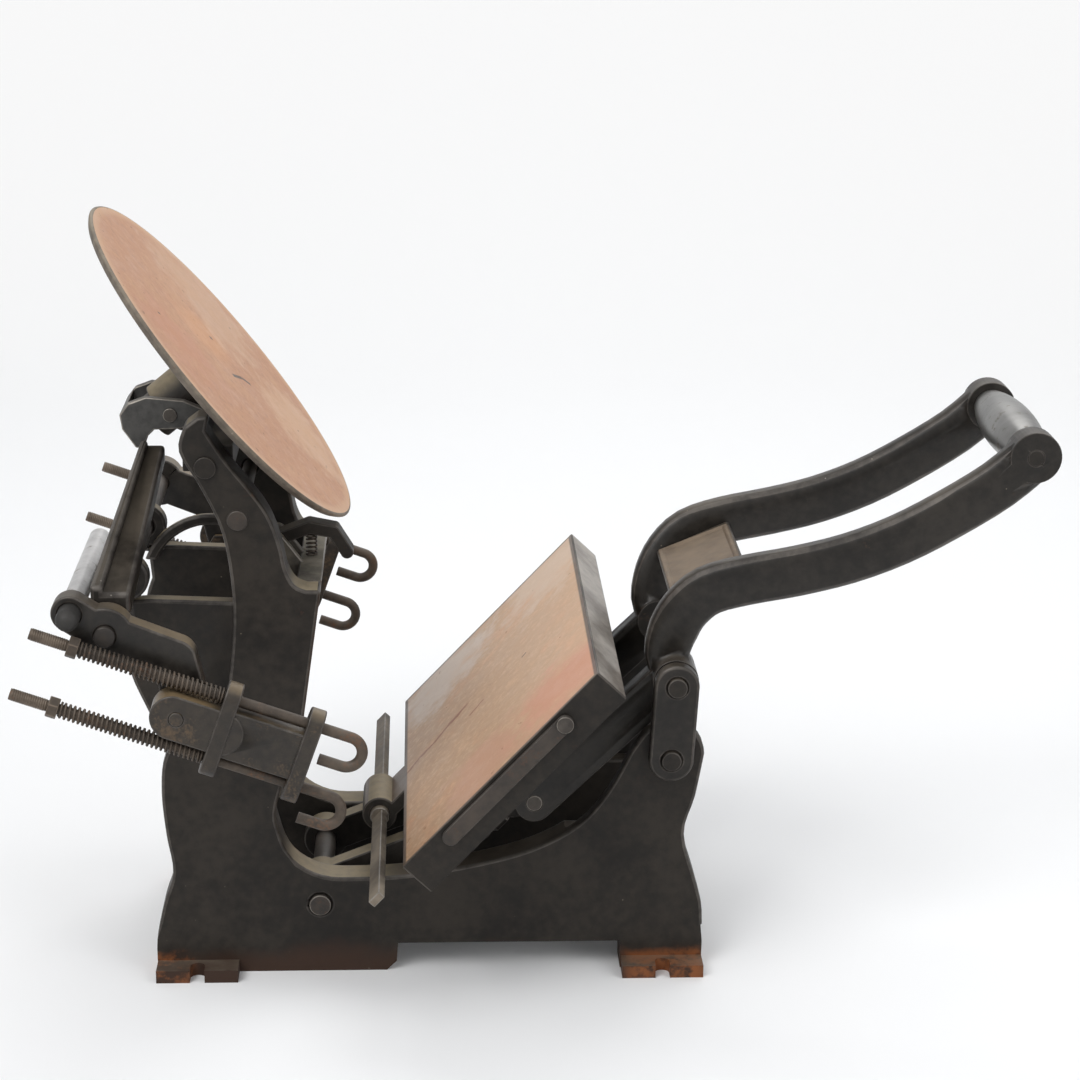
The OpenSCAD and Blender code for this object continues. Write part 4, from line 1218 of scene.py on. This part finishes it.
@dataclass
class Studio:
    """Pale ground, soft light and the camera at the photo's view."""

    eye: Point = (-0.07368, -1.6135, 0.7261)
    yaw_deg: float = 2.56
    pitch_deg: float = 16.24
    roll_deg: float = 0.47
    lens_mm: float = 90.27
    sensor_mm: float = 36.0
    sight: float = 50.0
    ground_half: float = 14.0
    ground_back: float = 1.6
    bend: float = 0.6
    bend_steps: int = 24
    rise: float = 2.4
    sky_light: Colour = (0.95, 0.97, 1.0)
    sky_power: float = 0.55
    lamps: tuple[Lamp, ...] = (
        Lamp("key", (-1.1, -1.3, 1.9), (0.0, 0.0, 0.2), 1.3, 34.0),
        Lamp("fill", (1.5, -1.2, 1.2), (0.05, 0.0, 0.2), 1.4, 12.0),
        Lamp("back", (0.4, 1.3, 1.9), (0.0, 0.0, 0.25), 1.4, 16.0),
    )

    def ground(self) -> None:
        """Lays the ground and bends it up behind: level, then a quarter circle, then straight up."""
        angle = np.linspace(0.0, 0.5 * np.pi, self.bend_steps)
        back = self.ground_back + self.bend
        y = np.concatenate([[-self.ground_half], self.ground_back + self.bend * np.sin(angle), [back]])
        z = np.concatenate([[0.0], self.bend * (1.0 - np.cos(angle)), [self.rise]])
        x = np.linspace(-self.ground_half, self.ground_half, 2)
        points = np.stack(np.broadcast_arrays(x[:, None], y[None, :], z[None, :]), axis=-1)
        obj = grid_mesh("ground", points)
        shade(obj.data, Smoothing.SMOOTH)
        obj.data.materials.append(material(Finish.GROUND))

    def camera(self) -> None:
        """Sets the camera from its place, its yaw, pitch and roll, and its lens."""
        yaw, pitch, roll = (math.radians(a) for a in (self.yaw_deg, self.pitch_deg, self.roll_deg))
        ahead = np.array([math.sin(yaw) * math.cos(pitch), math.cos(yaw) * math.cos(pitch), -math.sin(pitch)])
        right = np.array([math.cos(yaw), -math.sin(yaw), 0.0])
        up = np.cross(right, ahead)
        right, up = math.cos(roll) * right + math.sin(roll) * up, -math.sin(roll) * right + math.cos(roll) * up
        data = bpy.data.cameras.new("photo_view")
        data.sensor_width = self.sensor_mm
        data.sensor_fit = "HORIZONTAL"
        data.lens = self.lens_mm
        data.clip_end = self.sight
        obj = bpy.data.objects.new("photo_view", data)
        turn = Matrix((right, up, -ahead)).transposed().to_4x4()
        obj.matrix_world = Matrix.Translation(self.eye) @ turn
        bpy.context.scene.collection.objects.link(obj)
        bpy.context.scene.camera = obj

    def light(self) -> None:
        """Sets an even pale sky, shown white to the camera and in reflections, and hangs the lamps."""
        world = bpy.data.worlds.new("studio_sky")
        g = Graph(world)
        path = g.node("ShaderNodeLightPath")
        rays = [path.out(f"Is {kind} Ray") for kind in ("Camera", "Glossy", "Transmission")]
        lit = g.node("ShaderNodeBackground", None, {"Color": self.sky_light, "Strength": self.sky_power}).out()
        seen = g.node("ShaderNodeBackground", None, {"Color": SKY, "Strength": 1.0}).out()
        sky = g.node("ShaderNodeMixShader", None, {0: reduce(Field.most, rays), 1: lit, 2: seen}).out()
        g.node("ShaderNodeOutputWorld", None, {"Surface": sky})
        bpy.context.scene.world = world
        for lamp in self.lamps:
            lamp.hang()
        bpy.context.scene.view_settings.view_transform = "Standard"

    def build(self) -> None:
        """Sets camera, ground and light."""
        self.camera()
        self.ground()
        self.light()


PLATEN_SLOPE = math.radians(46.6)
DISC_TILT = math.radians(50.6)
PAINTED = (Finish.PAINT, Finish.PAINT_EDGE_WEAR_AND_HIGHLIGHT)
PLAIN = (Finish.PLAIN, Finish.PAINT_EDGE_WEAR_AND_HIGHLIGHT)
SATIN = (Finish.SATIN, Finish.PAINT_EDGE_WEAR_AND_HIGHLIGHT)
BROWN = (Finish.SADDLE, Finish.PAINT_EDGE_WEAR_AND_HIGHLIGHT)
STAINED = (Finish.STAINED, Finish.PAINT_EDGE_WEAR_AND_HIGHLIGHT)
BARE = (Finish.IRON, Finish.IRON_EDGE)
RUSTED = (Finish.RUST, Finish.RUST_EDGE)
FOOT_TOP = 0.022
PLATEN_FACES = (
    Face((-math.sin(PLATEN_SLOPE), 0.0, math.cos(PLATEN_SLOPE)), Finish.PLATE),
    Face((math.cos(PLATEN_SLOPE), 0.0, math.sin(PLATEN_SLOPE)), Finish.WORN, (0.2, 0.4)),
)
DISC_FACES = (
    Face((math.sin(DISC_TILT), 0.0, math.cos(DISC_TILT)), Finish.DISC),
    Face((-math.sin(DISC_TILT), 0.0, -math.cos(DISC_TILT)), Finish.IRON),
)
HANDLE_TAPER = Taper(((0.0780, 0.1870, 0.024), (0.2890, 0.3260, 0.026), (0.0, 0.12, 0.105)), 0.030, 0.30)


def assemblies() -> list[Assembly]:
    """The press's groups of pieces with their treatment.

    Returns:
        The groups in building order.
    """
    return [
        Assembly("frame", soft("side_frame_near side_frame_far", 0.0020, *PAINTED, above=FOOT_TOP)),
        Assembly(
            "bed",
            soft("bed_casting", 0.0010, Finish.BED, Finish.IRON_EDGE) + soft("post_tie", 0.0010, *PAINTED)
            + soft("disc_bracket", 0.0008, *PAINTED) + soft("chase_clamp", 0.0009, *PAINTED)
            + soft("pawl", 0.0009, Finish.GREY, Finish.IRON_EDGE)
            + soft("platen_shaft", 0.0007, Finish.STAINED, Finish.IRON_EDGE) + soft("frame_stay", 0.0006, *STAINED)
            + soft("link_foot_pins", 0.0007, *PAINTED) + soft("bracket_screws", 0.0005, *PAINTED)
            + soft("pawl_pins clamp_pin", 0.0004, *BARE),
        ),
        Assembly(
            "platen",
            soft("platen", 0.0010, Finish.PAINT, Finish.IRON, faces=PLATEN_FACES)
            + soft("platen_carrier", 0.0010, *PAINTED) + soft("impression_screws lock_nuts", 0.0005, *BARE)
            + soft("gripper_bar", 0.0006, Finish.DUSTY, Finish.IRON_EDGE)
            + soft("side_bail_near side_bail_far", 0.0005, *STAINED) + soft("bail_rivets", 0.0004, *BARE),
        ),
        Assembly(
            "handle",
            soft("link_near link_far", 0.0017, *PLAIN) + soft("link_head_pins", 0.0007, *PAINTED)
            + soft("tail_pins", 0.0006, *BARE) + soft("grip_rod", 0.0006, *PAINTED)
            + soft("handle", 0.0018, *PLAIN, taper=HANDLE_TAPER),
            (("handle_grip", Finish.GRIP),),
        ),
        Assembly(
            "roller frame",
            soft("roller_arm_near roller_arm_far", 0.0012, *SATIN) + soft("trip_arm", 0.0022, *PLAIN)
            + soft("saddle_near saddle_far", 0.0009, *BROWN) + soft("saddle_bolts", 0.0006, *BROWN)
            + soft("roller_shaft", 0.0007, *STAINED) + soft(" ".join(f"nut_{h}" for h in HOOKS), 0.0005, *RUSTED),
            tuple((f"hook_{h}", Finish.RUST) for h in HOOKS) + (("frame_rod", Finish.BRIGHT),),
        ),
        Assembly(
            "ink disc",
            soft("ink_disc", 0.0007, Finish.DUSTY, Finish.DUSTY, faces=DISC_FACES)
            + soft("disc_spindle", 0.0005, *BARE) + soft("ratchet_wheel", 0.0004, *BARE)
            + soft("spindle_collar", 0.0005, *BARE),
        ),
    ]


def main() -> None:
    """Builds the studio and every group of pieces."""
    logging.basicConfig(level=logging.INFO, format="%(name)s %(message)s")
    Studio().build()
    for group in assemblies():
        group.build()
        group.dress()
    RollerSprings().build()
    YokePlate().build()
    LOG.info("boxes written")


if __name__ == "__main__":
    main()
